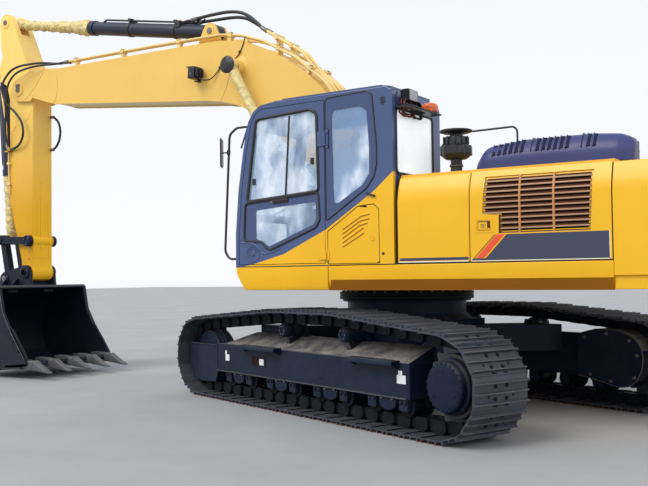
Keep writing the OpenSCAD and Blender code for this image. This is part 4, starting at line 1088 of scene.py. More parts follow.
def side_doors():
    b = Bag()
    x0, x1 = -1.4135, -.7065
    b.add(box((x0, 1.458, 1.4535), (x1, 1.490, 2.2345)), "yellow")
    lean(b.make("side_door_front_panel", "door_side_front", bevel=.013, seg=4, replaces="side_door_front"))
    b = Bag()
    b.add(box((x0 + .012, 1.4885, 1.4560), (x1 - .010, 1.4903, 1.4645)), "line")
    b.add(box((x0 + .012, 1.4885, 1.4700), (x1 - .022, 1.4906, 1.4960)), "band")
    b.add(box((x0 + .012, 1.4885, 1.4645), (x0 + .016, 1.4903, 1.500)), "line")
    b.make("side_door_front_strip", "door_side_front")
    # rear door: frame, sunk grille with louvres in three columns
    g = mm([(-1553, 2181), (-2489, 2181), (-2464, 1689), (-1681, 1689), (-1684, 1845), (-1535, 1862)])
    out = mm([(-2631, 1453.5), (-1420.5, 1453.5), (-1420.5, 2234.5), (-2631, 2234.5)])
    b = Bag()
    b.add(plate(out, [g], 1.476, 1.490), "yellow")
    b.add(plate(out, [offset_poly(g, -.02)], 1.458, 1.476), "yellow")
    lean(b.make("side_door_rear_panel", "door_side_rear", bevel=.0045, seg=3, replaces="side_door_rear"))
    b = Bag()
    # dark back of the sunk grille: painted shade
    b.add(plate(offset_poly(g, -.0006), [], 1.4600, 1.4640), "shade_fill")
    cols = [(-1.862, -1.541), (-2.155, -1.874), (-2.472, -2.167)]
    for i in range(11):
        z = 2.163 - i * .0452
        for c, (a, d) in enumerate(cols):
            if c == 0 and z < 1.868:
                d = -1.684
            if z < 1.70:
                continue
            # louvre blades in painted shade, their edges in painted light
            b.add(prism_x([(1.4640, z - .004), (1.4660, z - .008), (1.4815, z - .030), (1.4860, z - .0300), (1.4860, z - .0200), (1.4670, z)], a, d), "louvre")
            b.add(prism_x([(1.4860, z - .0315), (1.4885, z - .0315), (1.4890, z - .0260), (1.4880, z - .0190), (1.4860, z - .0190)], a, d), "tan")
    # grille bars in painted shade
    for x in (-1.868, -2.161):
        b.add(box((x - .0085, 1.4660, 1.690), (x + .0085, 1.4895, 2.180)), "mullion")
    # dark strip along the grille's front edge: painted shade
    b.add(box((-1.700, 1.470, 1.6895), (-1.6815, 1.489, 1.846)), "louvre")
    lean(b.make("side_door_rear_louvres", "door_side_rear"))
    # band with its slanted stripe and border, lock plate
    b = Bag()
    b.add(plate(mm([(-1752, 1680), (-2609, 1680), (-2612, 1462), (-1436, 1462), (-1436, 1480), (-1560, 1480)]), [], 1.4885, 1.4904), "band")
    b.add(plate(mm([(-1660, 1681), (-1738, 1681), (-1545, 1481), (-1470, 1481)]), [], 1.4885, 1.4908), "stripe")
    b.add(plate(mm([(-1640, 1681), (-1655, 1681), (-1460, 1481), (-1445, 1481)]), [], 1.4885, 1.4905), "brown")
    b.add(box((-2.616, 1.4885, 1.4555), (-1.436, 1.4903, 1.4615)), "line")
    b.add(box((-2.6165, 1.4885, 1.4555), (-2.611, 1.4903, 1.680)), "line")
    b.add(box((-1.436, 1.4885, 1.4555), (-1.431, 1.4903, 1.4840)), "line")
    b.make("side_door_rear_band", "door_side_rear")
    b = Bag()
    c = (-1.549, 1.759)
    ring = [(c[0] - .082, c[1] - .060), (c[0] + .082, c[1] - .060), (c[0] + .082, c[1] + .060), (c[0] - .082, c[1] + .060)]
    b.add(plate(round_poly(ring, .016), [round_poly(offset_poly(ring, -.012), .010)], 1.489, 1.4935), "yellow")
    inner = [(c[0] - .058, c[1] - .041), (c[0] + .058, c[1] - .041), (c[0] + .058, c[1] + .041), (c[0] - .058, c[1] + .041)]
    # brown and dark pieces inside the lock's ring and latch: painted shade of the recess
    b.add(plate(round_poly(inner, .008), [round_poly(offset_poly(inner, -.004), .006)], 1.489, 1.4920), "brown")
    b.add(box((c[0] - .056, 1.489, c[1] - .022), (c[0] - .030, 1.4905, c[1] + .039)), "louvre")
    b.add(box((c[0] - .040, 1.489, c[1] + .020), (c[0] + .050, 1.4903, c[1] + .039)), "brown")
    latch = [(c[0] - .030, c[1] - .032), (c[0] + .046, c[1] - .032), (c[0] + .046, c[1] + .028), (c[0] - .030, c[1] + .028)]
    b.add(plate(round_poly(latch, .008), [], 1.489, 1.4932), "yellow")
    latch = offset_poly(latch, -.014)
    b.add(plate(round_poly(latch, .006), [round_poly(offset_poly(latch, -.003), .004)], 1.4930, 1.4938), "brown")
    b.add(lathe((c[0] + .008, 1.4925, c[1] - .002), (0, 1, 0), [(.013, 0), (.012, .002), (.007, .0024), (.006, .0005), (0, .0005)], 16), "steel")
    b.make("side_door_rear_lock", "door_side_rear")
    # seams on the frame
    b = Bag()
    for x in (-.7030, -1.4170, -2.6355):
        b.add(box((x - .0022, 1.440, 1.4420), (x + .0022, 1.4862, 2.2300)), "seam")
    b.add(box((-2.636, 1.440, 1.4430), (-.702, 1.4850, 1.4510)), "seam")
    lean(b.make("panel_seams", "upper"))


side_doors()

# ------------------------------------------------------------------ engine hood
HOOD = [(-1.336, 2.2665), (-1.346, 2.330), (-1.440, 2.486), (-1.80, 2.5265), (-2.39, 2.5245), (-2.62, 2.502), (-2.734, 2.455), (-2.734, 2.2665)]


def deck_infill():
    """bolted sheet that closes the deck behind the hood's askew rear edge"""
    P = [(-2.600, .411), (-2.600, -.820), (-2.309, -.820)]
    b = Bag()
    v = [Vector((x, y, z)) for z in (2.2545, 2.2635) for x, y in P]
    b.add((v, [(2, 1, 0), (3, 4, 5)] + [(i, (i + 1) % 3, (i + 1) % 3 + 3, i + 3) for i in range(3)]), "yellow")
    for x, y in ((-2.582, .26), (-2.582, -.08), (-2.582, -.42), (-2.582, -.78), (-2.46, -.80), (-2.36, -.80)):
        b.add(hexbolt(Vector((x, y, 2.2635)), Vector((0, 0, 1)), .011, .002), "yellow")
    b.make("deck_infill", "upper", bevel=.0015)


def hood():
    prof = []
    P = [Vector((x, 0, z)) for x, z in HOOD]
    for p in rounded_path(P, .13, 7):
        prof.append((p.x, p.z))
    # extra stations along the flat top so the plan corners stay round
    dense = []
    for (a, b2) in zip(prof, prof[1:]):
        n = max(1, int(math.hypot(b2[0] - a[0], b2[1] - a[1]) / .035))
        dense += [(a[0] + (b2[0] - a[0]) * k / n, a[1] + (b2[1] - a[1]) * k / n) for k in range(n)]
    dense.append(prof[-1])
    secs = []
    for x, h in dense:
        d = min(x + 2.734, -1.336 - x)
        r = .16
        ins = r - math.sqrt(max(0, r * r - (r - d) ** 2)) if d < r else 0
        ins *= .65
        y0, y1 = max(-.859 + ins, .951 - (x + 2.734) / .243 + (.030 if x < -2.31 else 0) * min(1, (-2.31 - x) / .03)), 1.224 - ins
        zb = 2.2665
        hh = max(h, zb + .0004)
        k = min(1, (hh - zb) / .26)
        zs = zb + (hh - zb) * .52
        sec = [(y0, zb), (y0 + .004 * k, zs), (y0 + .085 * k, hh), (y1 - .085 * k, hh), (y1 - .004 * k, zs), (y1, zb)]
        V = [Vector((y, 0, z)) for y, z in sec]
        out = [V[0]]
        for a, b2, c in zip(V, V[1:], V[2:]):
            u, w = (a - b2), (c - b2)
            t = min(.10, u.length * .45, w.length * .45)
            u, w = (u.normalized() if u.length > 1e-9 else u), (w.normalized() if w.length > 1e-9 else w)
            for j in range(6):
                s = j / 5
                out.append((b2 + u * t) * (1 - s) ** 2 + b2 * 2 * s * (1 - s) + (b2 + w * t) * s * s)
        out.append(V[-1])
        secs.append([(x, q.x, q.z) for q in out])
    n = len(secs[0])
    v = [p for s in secs for p in s]
    f = []
    for i in range(len(secs) - 1):
        for j in range(n - 1):
            f.append((i * n + j, i * n + j + 1, (i + 1) * n + j + 1, (i + 1) * n + j))
        f.append((i * n + n - 1, i * n, (i + 1) * n, (i + 1) * n + n - 1))
    f.append(tuple(range(n)))
    f.append(tuple(range((len(secs) - 1) * n, len(secs) * n))[::-1])
    b = Bag()
    b.add((v, f), "hood")
    b.make("hood_shell", "hood", angle=50, replaces="engine_hood", slot="navy_paint")
    b = Bag()

    def side_pt(x, t, off=0.0):
        """A point on the left upper slope; t from the foot of the slope (0) to its top (1)."""
        h = interp([(-p[0], p[1]) for p in prof], -x)
        zb = 2.2665
        zs = zb + (h - zb) * .52
        y = 1.220 - .081 * t
        z = zs + (h - zs) * t
        nrm = Vector((0, h - zs, .081)).normalized()
        return Vector((x, y, z)) + nrm * off
    groups = [(-1.535, 6), (-1.935, 6), (-2.375, 2)]
    for s in (1, -1):
        for gx, n2 in groups:
            for k in range(n2):
                x = gx - k * .052
                if s < 0 and x < -2.16:
                    continue
                pts = []
                for (dx, t) in ((0, .02), (.026, .02), (.026, .92), (0, .92)):
                    pts.append((dx, t))
                q = []
                for (dx, t) in ((0, .05), (0, .35), (0, .65), (0, .93)):
                    q.append([side_pt(x + e, t, o2) for e in (-.012, .012) for o2 in (-.010, .0030)])
                vv = [p for r4 in q for p in (r4[0], r4[1], r4[3], r4[2])]
                ff = []
                for i in range(3):
                    for j in range(4):
                        ff.append((i * 4 + j, i * 4 + (j + 1) % 4, (i + 1) * 4 + (j + 1) % 4, (i + 1) * 4 + j))
                ff += [(0, 1, 2, 3), (12, 13, 14, 15)]
                T = None
                if s < 0:
                    T = Matrix.Translation((0, .365, 0)) @ Matrix.Diagonal((1, -1, 1, 1))
                # each slot is a dark block of painted shade
                b.add((vv, ff), "slot", T)
                # pressed lip beside each slot
                lip = [side_pt(x + .017, t, .0035) for t in (.0, .2, .4, .6, .8, .97)]
                b.add(tube(lip, .0055, 6), "hood", T)
    # seams across the hood, latch and hinges
    for x in (-1.875, -2.315):
        b.add(tube([side_pt(x, t, .0015) for t in (0, .25, .5, .75, 1)] + [Vector((x, 1.0, interp([(-p[0], p[1]) for p in prof], -x) + .001)), Vector((x, -.7 if x > -2 else -.62, interp([(-p[0], p[1]) for p in prof], -x) + .001))], .004, 6), "seam")
    for y in (-.6, .2, 1.0):
        b.add(cyl((-1.345, y - .06, 2.276), (-1.345, y + .06, 2.276), .0085, 12), "steel")
        b.add(box((-1.40, y - .045, 2.2665), (-1.348, y + .045, 2.2735)), "steel")
    b.add(tube(rounded_path([(-2.45, .45, 2.506), (-2.45, .45, 2.5235), (-2.45, .65, 2.5235), (-2.45, .65, 2.506)], .015), .006, 8), "black")
    b.make("hood_slots", "hood", bevel=.0)


deck_infill()
hood()

# ------------------------------------------------------------------ cab
DOOR_UP = mm([(885, 2905), (843, 2920), (243, 2950), (190, 2925), (170, 2880), (156, 2171), (1001, 2110), (990, 2200)])
DOOR_LOW = mm([(1029, 2075), (156, 2138), (143, 1890), (185, 1821), (720, 1622), (760, 1632), (835, 1700), (1046, 1720)])
SIDE_OUT = mm([(60, 3046), (-400, 3062), (-458, 3030), (-502, 2539), (-500, 2370), (-468, 2256), (-391, 2157), (40, 1880), (60, 1880)])
SIDE_CLEAR = mm([(-14, 2925), (-328, 2932), (-400, 2883), (-423, 2540), (-420, 2290), (-346, 2190), (-26, 2003)])
rounded("cab_body", "cab", .014, "upper", 3)
rounded("cab_roof", "navy", .012, "upper", 3)
rounded("cab_door", "cab", .007, "door_cab", 3)


def cab_outside():
    b = Bag()
    # bonded side pane with a dark border, and its rubber
    so = round_poly(SIDE_OUT, .05, 5)
    b.add(plate(so, [round_poly(SIDE_CLEAR, .05, 5)], 1.4895, 1.4925), "frit")
    b.make("cab_side_pane_border", "upper", bevel=.001, seg=1)
    b = Bag()
    b.add(tube([(x, 1.4915, z) for x, z in so], .0075, 8, closed=True), "gasket")
    # rear window rubber, its clear pane frame and catch
    q = [(.675, 2.285), (1.425, 2.285), (1.425, 2.885), (.675, 2.885)]
    rp = round_poly(q, .05, 5)
    b.add(tube([(-.673, y, z) for y, z in rp], .0125, 8, closed=True), "gasket")
    b.add(box((-.682, .70, 2.266), (-.668, 1.40, 2.290)), "gasket")
    # windscreen rubber on both panes, wiper
    for q in ([(590, 1990), (1400, 1990), (1400, 2860), (590, 2860)], [(590, 1580), (1400, 1580), (1400, 1930), (590, 1930)]):
        pts = round_poly([(a / 1000, c / 1000) for a, c in q], .05, 5)
        b.add(tube([(interp([(1.443, 1.166), (1.781, 1.163), (2.21, 1.127), (2.636, 1.058), (2.916, .992)], z) + .001, y, z) for y, z in pts], .011, 8, closed=True), "gasket")
    # right pane
    b.add(tube([(x, .4985, z) for x, z in round_poly(mm([(950, 2880), (900, 2930), (-360, 2950), (-430, 2900), (-450, 2370), (-350, 2180), (0, 1960), (200, 1900), (1010, 1900), (1030, 2200)]), .04, 5)], .010, 8, closed=True), "gasket")
    # rubber joint round the door, in the gap
    dg = round_poly(mm([(1121, 1467), (1118, 1781), (1084, 2208), (1017, 2630), (959, 2885), (920, 2962), (837, 3027), (75, 3033), (75, 1467)]), .03, 4)
    b.add(tube([(x, 1.468, z) for x, z in dg], .006, 6, closed=True), "gasket")
    b.add(tube([(interp([(1.443, 1.170), (1.781, 1.167), (2.21, 1.131), (2.636, 1.062)], z) + .004, .66 + .0 * z, z) for z in (1.95, 2.1)], .009, 8), "gasket")
    b.add(box((.05, 1.440, 1.4420), (1.150, 1.4912, 1.4500)), "gasket")
    b.add(box((-.700, 1.440, 1.4420), (.040, 1.4900, 1.4500)), "gasket")
    b.make("cab_rubbers", "upper")
    b = Bag()
    # wiper: motor cover, arm and blade in front of the upper pane
    b.add(box((1.140, .62, 1.935), (1.172, .80, 1.985)), "black")
    b.add(tube([(1.160, .72, 1.96), (1.158, .74, 2.02), (1.120, .86, 2.40), (1.105, .90, 2.50)], .006, 8, 4), "black")
    b.add(tube([(1.142, .98, 2.22), (1.060, .86, 2.76)], .007, 6), "rubber")
    # roof hatch lid, gutter over the door, vents on the rear pillar
    b.add(prism_x([(.69, 3.107), (1.30, 3.107), (1.30, 3.112), (1.27, 3.122), (.72, 3.122), (.69, 3.112)], -.26, .46), "navy")
    b.add(tube(rounded_path([(1.10, 1.470, 2.660), (.985, 1.474, 2.925), (.93, 1.476, 3.005), (.845, 1.476, 3.060), (.72, 1.476, 3.077), (-.60, 1.476, 3.077), (-.655, 1.476, 3.040)], .05), .010, 8), "navy")
    for k in range(3):
        b.add(box((-.600 + k * .0, 1.4895, 2.930 + k * .022), (-.545, 1.4935, 2.942 + k * .022)), "gasket")
    b.add(box((-.578, 1.4895, 2.915), (-.566, 1.4940, 2.995)), "gasket")
    # catch for the open door
    b.add(prism([(-.485, 2.085), (-.395, 2.115), (-.390, 2.100), (-.480, 2.068)], 1.488, 1.512), "gasket")
    # hinge brackets of the door: upper with an open frame, lower small
    b.add(plate(round_poly(mm([(24, 2565), (61, 2565), (61, 2750), (24, 2750)]), .006), [], 1.4890, 1.4985), "navy")
    b.add(tube([(x, 1.4990, z) for x, z in round_poly(mm([(22, 2563), (63, 2563), (63, 2752), (22, 2752)]), .008)], .0035, 6, closed=True), "gasket")
    for z in (2.600, 2.715):
        b.add(hexbolt((.042, 1.498, z), (0, 1, 0), .010, .008), "navy")
    b.add(plate(mm([(26, 1497), (60, 1497), (60, 1583), (26, 1583)]), [], 1.4890, 1.4975), "yellow")
    # guard bolts on the roof
    for x in (-.33, .47):
        for y in (.64, 1.32):
            b.add(lathe((x, y, 3.1055), (0, 0, 1), [(.016, 0), (.016, .004), (.0085, .0045), (.0080, .001), (0, .001)], 16), "steel")
    b.add(lathe((-.45, .75, 3.127), (0, 0, 1), [(.028, 0), (.026, .012), (.010, .018), (0, .018)], 20), "black")
    b.make("cab_fittings", "upper", bevel=.0015, seg=1)


cab_outside()


def cab_door_trim():
    b = Bag()
    b.add(tube([(x, 1.4905, z) for x, z in round_poly(offset_poly(DOOR_UP, .010), .045, 5)], .0150, 10, closed=True), "gasket")
    b.add(tube([(x, 1.4905, z) for x, z in round_poly(offset_poly(DOOR_LOW, .010), .045, 5)], .0115, 10, closed=True), "gasket")
    # divider and lower rail of the sliding panes, latches, handle
    b.add(prism([(.476, 2.925), (.494, 2.924), (.548, 2.150), (.528, 2.150)], 1.4755, 1.4895), "gasket")
    b.add(prism([(1.012, 2.088), (1.012, 2.118), (.150, 2.176), (.150, 2.148)], 1.4740, 1.4955), "gasket")
    for x, z in ((.217, 2.457), (.924, 2.301)):
        b.add(box((x - .016, 1.4770, z - .032), (x + .016, 1.4980, z + .032)), "black")
        b.add(cyl((x, 1.498, z), (x, 1.506, z), .008, 12), "black")
    b.make("cab_door_rubbers", "door_cab", bevel=.0015, seg=1)
    b = Bag()
    b.add(plate(round_poly(mm([(505, 2078), (690, 2066), (690, 2106), (505, 2118)]), .014), [], 1.4900, 1.5010), "black")
    b.add(prism([(.530, 2.086), (.668, 2.077), (.668, 2.091), (.530, 2.100)], 1.500, 1.512), "black")
    b.add(lathe((.705, 1.4895, 2.088), (0, 1, 0), [(.014, 0), (.014, .006), (.008, .0065), (.006, .003), (0, .003)], 16), "steel")
    # round lock recess with a bead that runs round it and off along the window
    b.add(lathe((.945, 1.4895, 1.575), (0, 1, 0), [(.088, 0), (.086, .004), (.074, .0045), (.066, .001), (.030, .0012), (.026, .006), (.020, .0070), (0, .0070)], 40), "frit")
    b.add(lathe((.945, 1.4960, 1.575), (0, 1, 0), [(.011, 0), (.010, .003), (.006, .0034), (.005, .001), (0, .001)], 16), "steel")
    b.add(tube([(1.098, 1.4900, 1.735), (1.079, 1.4900, 1.690), (1.030, 1.4900, 1.690), (.982, 1.4900, 1.692), (.895, 1.4900, 1.655), (.845, 1.4900, 1.600), (.800, 1.4900, 1.575), (.700, 1.4900, 1.588), (.60, 1.4900, 1.625)], .0075, 8, 5), "navy")
    b.make("cab_door_handle", "door_cab", bevel=.002, seg=2)
    b = Bag()
    clear = mm([(905, 2012), (184, 2064), (178, 1900), (210, 1845), (735, 1648), (780, 1655), (900, 1725)])
    b.add(plate(offset_poly(DOOR_LOW, -.001), [round_poly(clear, .03, 4)], 1.4853, 1.4866), "frit")
    b.make("cab_door_pane_border", "door_cab")
    # step-side grip inside the door
    b = Bag()
    b.add(tube(rounded_path([(.36, 1.444, 2.10), (.36, 1.400, 2.10), (.78, 1.400, 1.95), (.78, 1.444, 1.95)], .04), .013, 10), "plastic")
    b.make("cab_door_grip", "door_cab")


cab_door_trim()


def filter_cover():
    F = mm([(43.5, 1765), (-290, 1987), (-462, 2001), (-511, 1956), (-515, 1462), (43.5, 1462)])
    b = Bag()
    b.add(plate(round_poly(F, .030, 5), [], 1.4645, 1.4895), "yellow")
    b.make("filter_door_panel", "door_filter", bevel=.005, seg=3, replaces="filter_door")
    b = Bag()
    # five pressed louvres that bend towards the level at their rear end, each with a brown line under it as painted
    # shadow
    L = [[(-.125, 1.789), (-.327, 1.905), (-.418, 1.920)], [(-.122, 1.746), (-.318, 1.862), (-.410, 1.877)], [(-.121, 1.704), (-.302, 1.816), (-.395, 1.838)],
         [(-.121, 1.662), (-.350, 1.795)], [(-.122, 1.623), (-.355, 1.747)]]
    for k, p in enumerate(L):
        pts = [Vector((x, 1.4900, z)) for x, z in p]
        b.add(tube(rounded_path(pts, .05, 4) if len(pts) > 2 else pts, .0070, 8), "yellow")
        b.add(tube([q + Vector((0, .0008, -.0085)) for q in (rounded_path(pts, .05, 4) if len(pts) > 2 else pts)], .0045, 6), "brown")
    b.add(lathe((-.444, 1.4885, 1.692), (0, 1, 0), [(.028, 0), (.027, .005), (.021, .006), (.019, .002), (.010, .0022), (.009, .0045), (0, .0045)], 24), "yellow")
    b.make("filter_door_details", "door_filter")
    b = Bag()
    b.add(tube([(x, 1.4890, z) for x, z in round_poly(offset_poly(F, .0035), .032, 5)], .0022, 6, closed=True), "seam")
    b.add(lathe((-.557, 1.4885, 1.545), (0, 1, 0), [(.015, 0), (.014, .004), (.010, .006), (0, .0065)], 16), "gasket")
    b.make("filter_door_gap", "upper")


filter_cover()
skin("cab_door_glass", "glass")
PANES = skin("cab_glass", "glass")
for m in ("glass_side", "glass_rear"):
    PANES.data.materials.append(M[m])
for f in PANES.data.polygons:
    c = PANES.matrix_world @ f.center
    if c.x < -.64:
        f.material_index = 2
    elif c.y > 1.46:
        f.material_index = 1

# ------------------------------------------------------------------ seat and controls


def pad(name, outline, y0, y1, mat, puff=4.0, cap=.016, sub=1):
    """Stuffed cushion: a block from an outline in x and z, remeshed, blown up under pressure and capped."""
    v, f = prism(outline, y0, y1)
    me = bpy.data.meshes.new(name)
    me.from_pydata(v, [], f)
    bm = bmesh.new()
    bm.from_mesh(me)
    bmesh.ops.recalc_face_normals(bm, faces=bm.faces)
    bmesh.ops.bevel(bm, geom=list(bm.edges), offset=.022, segments=3, profile=.6, affect="EDGES")
    bm.to_mesh(me)
    bm.free()
    o = bpy.data.objects.new(name, me)
    SC.collection.objects.link(o)
    md = o.modifiers.new("remesh", "REMESH")
    md.mode, md.voxel_size = "VOXEL", .006
    dg = bpy.context.evaluated_depsgraph_get()
    dg.update()
    new = bpy.data.meshes.new_from_object(o.evaluated_get(dg))
    o.modifiers.clear()
    o.data = new
    rest = np.empty(len(new.vertices) * 3)
    new.vertices.foreach_get("co", rest)
    rest = rest.reshape(-1, 3)
    cl = o.modifiers.new("cloth", "CLOTH")
    st = cl.settings
    st.quality = 4
    st.use_pressure, st.uniform_pressure_force = True, puff
    st.effector_weights.gravity = 0
    cl.point_cache.frame_start, cl.point_cache.frame_end = 1, 20
    for fr in range(1, 21):
        SC.frame_set(fr)
    dg = bpy.context.evaluated_depsgraph_get()
    done = bpy.data.meshes.new_from_object(o.evaluated_get(dg))
    co = np.empty(len(done.vertices) * 3)
    done.vertices.foreach_get("co", co)
    co = co.reshape(-1, 3)
    o.modifiers.clear()
    SC.frame_set(1)
    d = co - rest
    ln = np.linalg.norm(d, axis=1)
    s = np.minimum(1, cap / np.maximum(ln, 1e-9))
    co = rest + d * s[:, None]
    o.data = new
    new.vertices.foreach_set("co", co.ravel())
    for p in new.polygons:
        p.use_smooth = True
    new.materials.clear()
    new.materials.append(M[mat])
    new.update()
    if sub:
        s2 = o.modifiers.new("sub", "SUBSURF")
        s2.levels = s2.render_levels = sub
    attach(o, "upper")
    return o


def seat():
    cush = pad("seat_cushion", mm([(-190, 1775), (285, 1790), (288, 1880), (240, 1893), (-120, 1868), (-190, 1862)]), .760, 1.180, "fabric")
    back = pad("seat_back", mm([(-250, 1895), (-115, 1905), (-290, 2540), (-300, 2550), (-385, 2548), (-392, 2530)]), .750, 1.190, "fabric")
    head = pad("seat_headrest", mm([(-325, 2585), (-400, 2592), (-415, 2742), (-350, 2745)]), .860, 1.080, "fabric", sub=1)
    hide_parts("operator_seat")
    b = Bag()
    # suspension bellows, frame, belt, armrests and piping seams
    for k in range(6):
        z = 1.52 + k * .040
        w = .012 if k % 2 else 0
        b.add(prism(round_poly([(-.15 + w, z), (.25 - w, z), (.25 - w, z + .040), (-.15 + w, z + .040)], .012), .770 + w, 1.170 - w), "rubber")
    b.add(box((-.17, .755, 1.500), (.27, 1.185, 1.520)), "black")
    b.add(box((-.20, .745, 1.755), (.29, 1.195, 1.772)), "black")
    for y in (.735, 1.195):
        b.add(prism(round_poly(mm([(-250, 1800), (-180, 1770), (-140, 1900), (-230, 1960)]), .02), y, y + .012), "black")
        b.add(lathe((-.19, y - .006 if y < 1 else y + .018, 1.86), (0, -1 if y < 1 else 1, 0), [(.03, -.01), (.03, .004), (.02, .008), (0, .008)], 20), "plastic")
        s = -1 if y < 1 else 1
        b.add(prism(round_poly(mm([(-215, 2120), (100, 2135), (118, 2160), (100, 2182), (-225, 2172)]), .018), y - .02 * (s < 0) + (.0 if s < 0 else -.02), y + (.035 if s < 0 else .055) - .015), "rubber")
    b.add(tube([(-.34, .93, 2.53), (-.352, .93, 2.62)], .008, 8), "steel")
    b.add(tube([(-.34, 1.01, 2.53), (-.352, 1.01, 2.62)], .008, 8), "steel")
    b.add(tube([(.284, .765, 1.842), (.284, 1.175, 1.842)], .004, 6), "plastic")
    b.make("seat_frame", "upper", bevel=.003, seg=2)
    # clear film still on the seat, hanging in folds
    v, f = [], []
    rows = [(1.93, -.115, -.27), (2.10, -.160, -.32), (2.30, -.210, -.365), (2.50, -.265, -.425), (2.60, -.290, -.448), (2.74, -.330, -.452), (2.785, -.37, -.41)]
    n = 44
    m = 26
    for i in range(m):
        z = 1.90 + (2.785 - 1.90) * i / (m - 1)
        xf = interp([(a, c) for a, c, _ in rows], z) + .018
        xb = interp([(a, c) for a, _, c in rows], z) - .016
        hw = interp([(1.90, .245), (2.45, .240), (2.58, .18), (2.74, .135), (2.785, .10)], z)
        for j in range(n):
            a = 2 * math.pi * j / n
            cx, cy = (xf + xb) / 2, .97
            ex = abs(math.cos(a)) ** .55 * (1 if math.cos(a) > 0 else -1)
            ey = abs(math.sin(a)) ** .55 * (1 if math.sin(a) > 0 else -1)
            k = .012 * mn.noise(Vector((ex * 3.1, ey * 3.3, z * 5))) + .010 * mn.noise(Vector((ex * 9, ey * 8, z * 11 + 4)))
            v.append((cx + ex * ((xf - xb) / 2 + k), cy + ey * (hw + k), z))
    for i in range(m - 1):
        for j in range(n):
            f.append((i * n + j, i * n + (j + 1) % n, (i + 1) * n + (j + 1) % n, (i + 1) * n + j))
    f.append(tuple(range((m - 1) * n, m * n)))
    b = Bag()
    b.add((v, f), "film")
    b.make("seat_wrap", "upper", angle=60)


seat()


def controls():
    b = Bag()
    for y0, y1, s in ((.590, .700, -1), (1.240, 1.350, 1)):
        ym = (y0 + y1) / 2
        b.add(prism(round_poly(mm([(-155, 1502), (180, 1502), (230, 1700), (325, 1850), (325, 1975), (-155, 1988)]), .03), y0 + .002, y1 - .002), "plastic")
        b.add(prism(round_poly(mm([(-150, 1985), (325, 1972), (325, 1984), (-150, 1999)]), .004), y0 + .006, y1 - .006), "rubber")
        # lever: boot, stalk, grip with buttons
        b.add(lathe((.260, ym, 1.975), (0, 0, 1), [(.048, 0), (.050, .012), (.036, .018), (.040, .030), (.028, .036), (.031, .048), (.018, .056), (.012, .066)], 24), "rubber")
        b.add(tube([(.260, ym, 2.03), (.262, ym, 2.08), (.268, ym, 2.12)], .010, 12, 4), "steel")
        b.add(tube([(.268, ym, 2.095), (.270, ym, 2.130), (.266, ym, 2.170), (.262, ym, 2.205), (.262, ym, 2.213)], .021, 16, 4, rf=lambda i, n: .85 + .35 * math.sin(math.pi * min(1, i / (n - 1) * 1.0)) * (1 if i < n - 1 else 0)), "plastic")
        b.add(lathe((.262, ym, 2.203), (.2, 0, 1), [(.022, 0), (.024, .004), (.018, .010), (0, .011)], 16), "plastic")
        for k in (-1, 1):
            b.add(lathe((.268, ym + k * .008, 2.2125), (.2, 0, 1), [(.0045, 0), (.004, .002), (0, .002)], 10), "orange")
        # switches along the console
        for k in range(5):
            b.add(box((-.10 + k * .055, ym - .03, 1.990), (-.06 + k * .055, ym - .006, 2.002)), "black")
            b.add(lathe((-.08 + k * .055, ym + .02, 1.990), (0, 0, 1), [(.012, 0), (.011, .010), (.008, .012), (0, .012)], 14), "black")
    # travel pedals and levers
    for y in (.880, 1.020):
        b.add(prism([(.700, 1.502), (.900, 1.506), (.905, 1.530), (.700, 1.516)], y - .048, y + .048), "rubber")
        for k in range(7):
            b.add(box((.712 + k * .026, y - .044, 1.516 + k * .0018), (.722 + k * .026, y + .044, 1.524 + k * .0018)), "rubber")
        b.add(tube([(.722, y, 1.53), (.680, y, 1.66), (.640, y, 1.80), (.600, y, 2.035)], .0105, 10, 4), "steel")
        b.add(tube([(.618, y, 1.93), (.600, y, 2.046)], .0175, 12), "rubber")
    # monitor on its post at the front right, air vents
    b.add(tube([(.850, .615, 1.505), (.850, .615, 1.90), (.820, .630, 2.10)], .022, 10, 4), "plastic")
    b.add(prism(round_poly([(.792, 2.104), (.828, 2.104), (.828, 2.326), (.792, 2.326)], .012), .578, .742), "plastic")
    b.add(box((.7905, .592, 2.140), (.7925, .728, 2.314)), "frit")
    for k in range(4):
        b.add(box((.7905, .604 + k * .032, 2.112), (.7930, .624 + k * .032, 2.128)), "black")
    b.add(prism(round_poly(mm([(870, 1505), (880, 1505), (880, 2095), (822, 2095)]), .01), .592, .638), "plastic")
    b.make("controls", "upper", bevel=.0025, seg=2, replaces="cab_controls")
    b = Bag()
    # ribbed floor mat, inner trim of the roof and rear shelf
    b.add(box((-.60, .560, 1.5005), (1.09, 1.435, 1.506)), "floor_mat")
    for k in range(30):
        b.add(box((.30 + k * .026, .60, 1.505), (.312 + k * .026, 1.40, 1.509)), "floor_mat")
    b.add(prism(round_poly(mm([(-612, 1510), (-500, 1510), (-480, 2150), (-612, 2250)]), .04), .56, 1.43), "plastic")
    b.add(prism(round_poly(mm([(-580, 2990), (-560, 3008), (400, 3008), (420, 2990)]), .01), .70, 1.29), "plastic")
    b.make("cab_inner_trim", "upper", bevel=.003, seg=2)


controls()

# ------------------------------------------------------------------ on top of the house


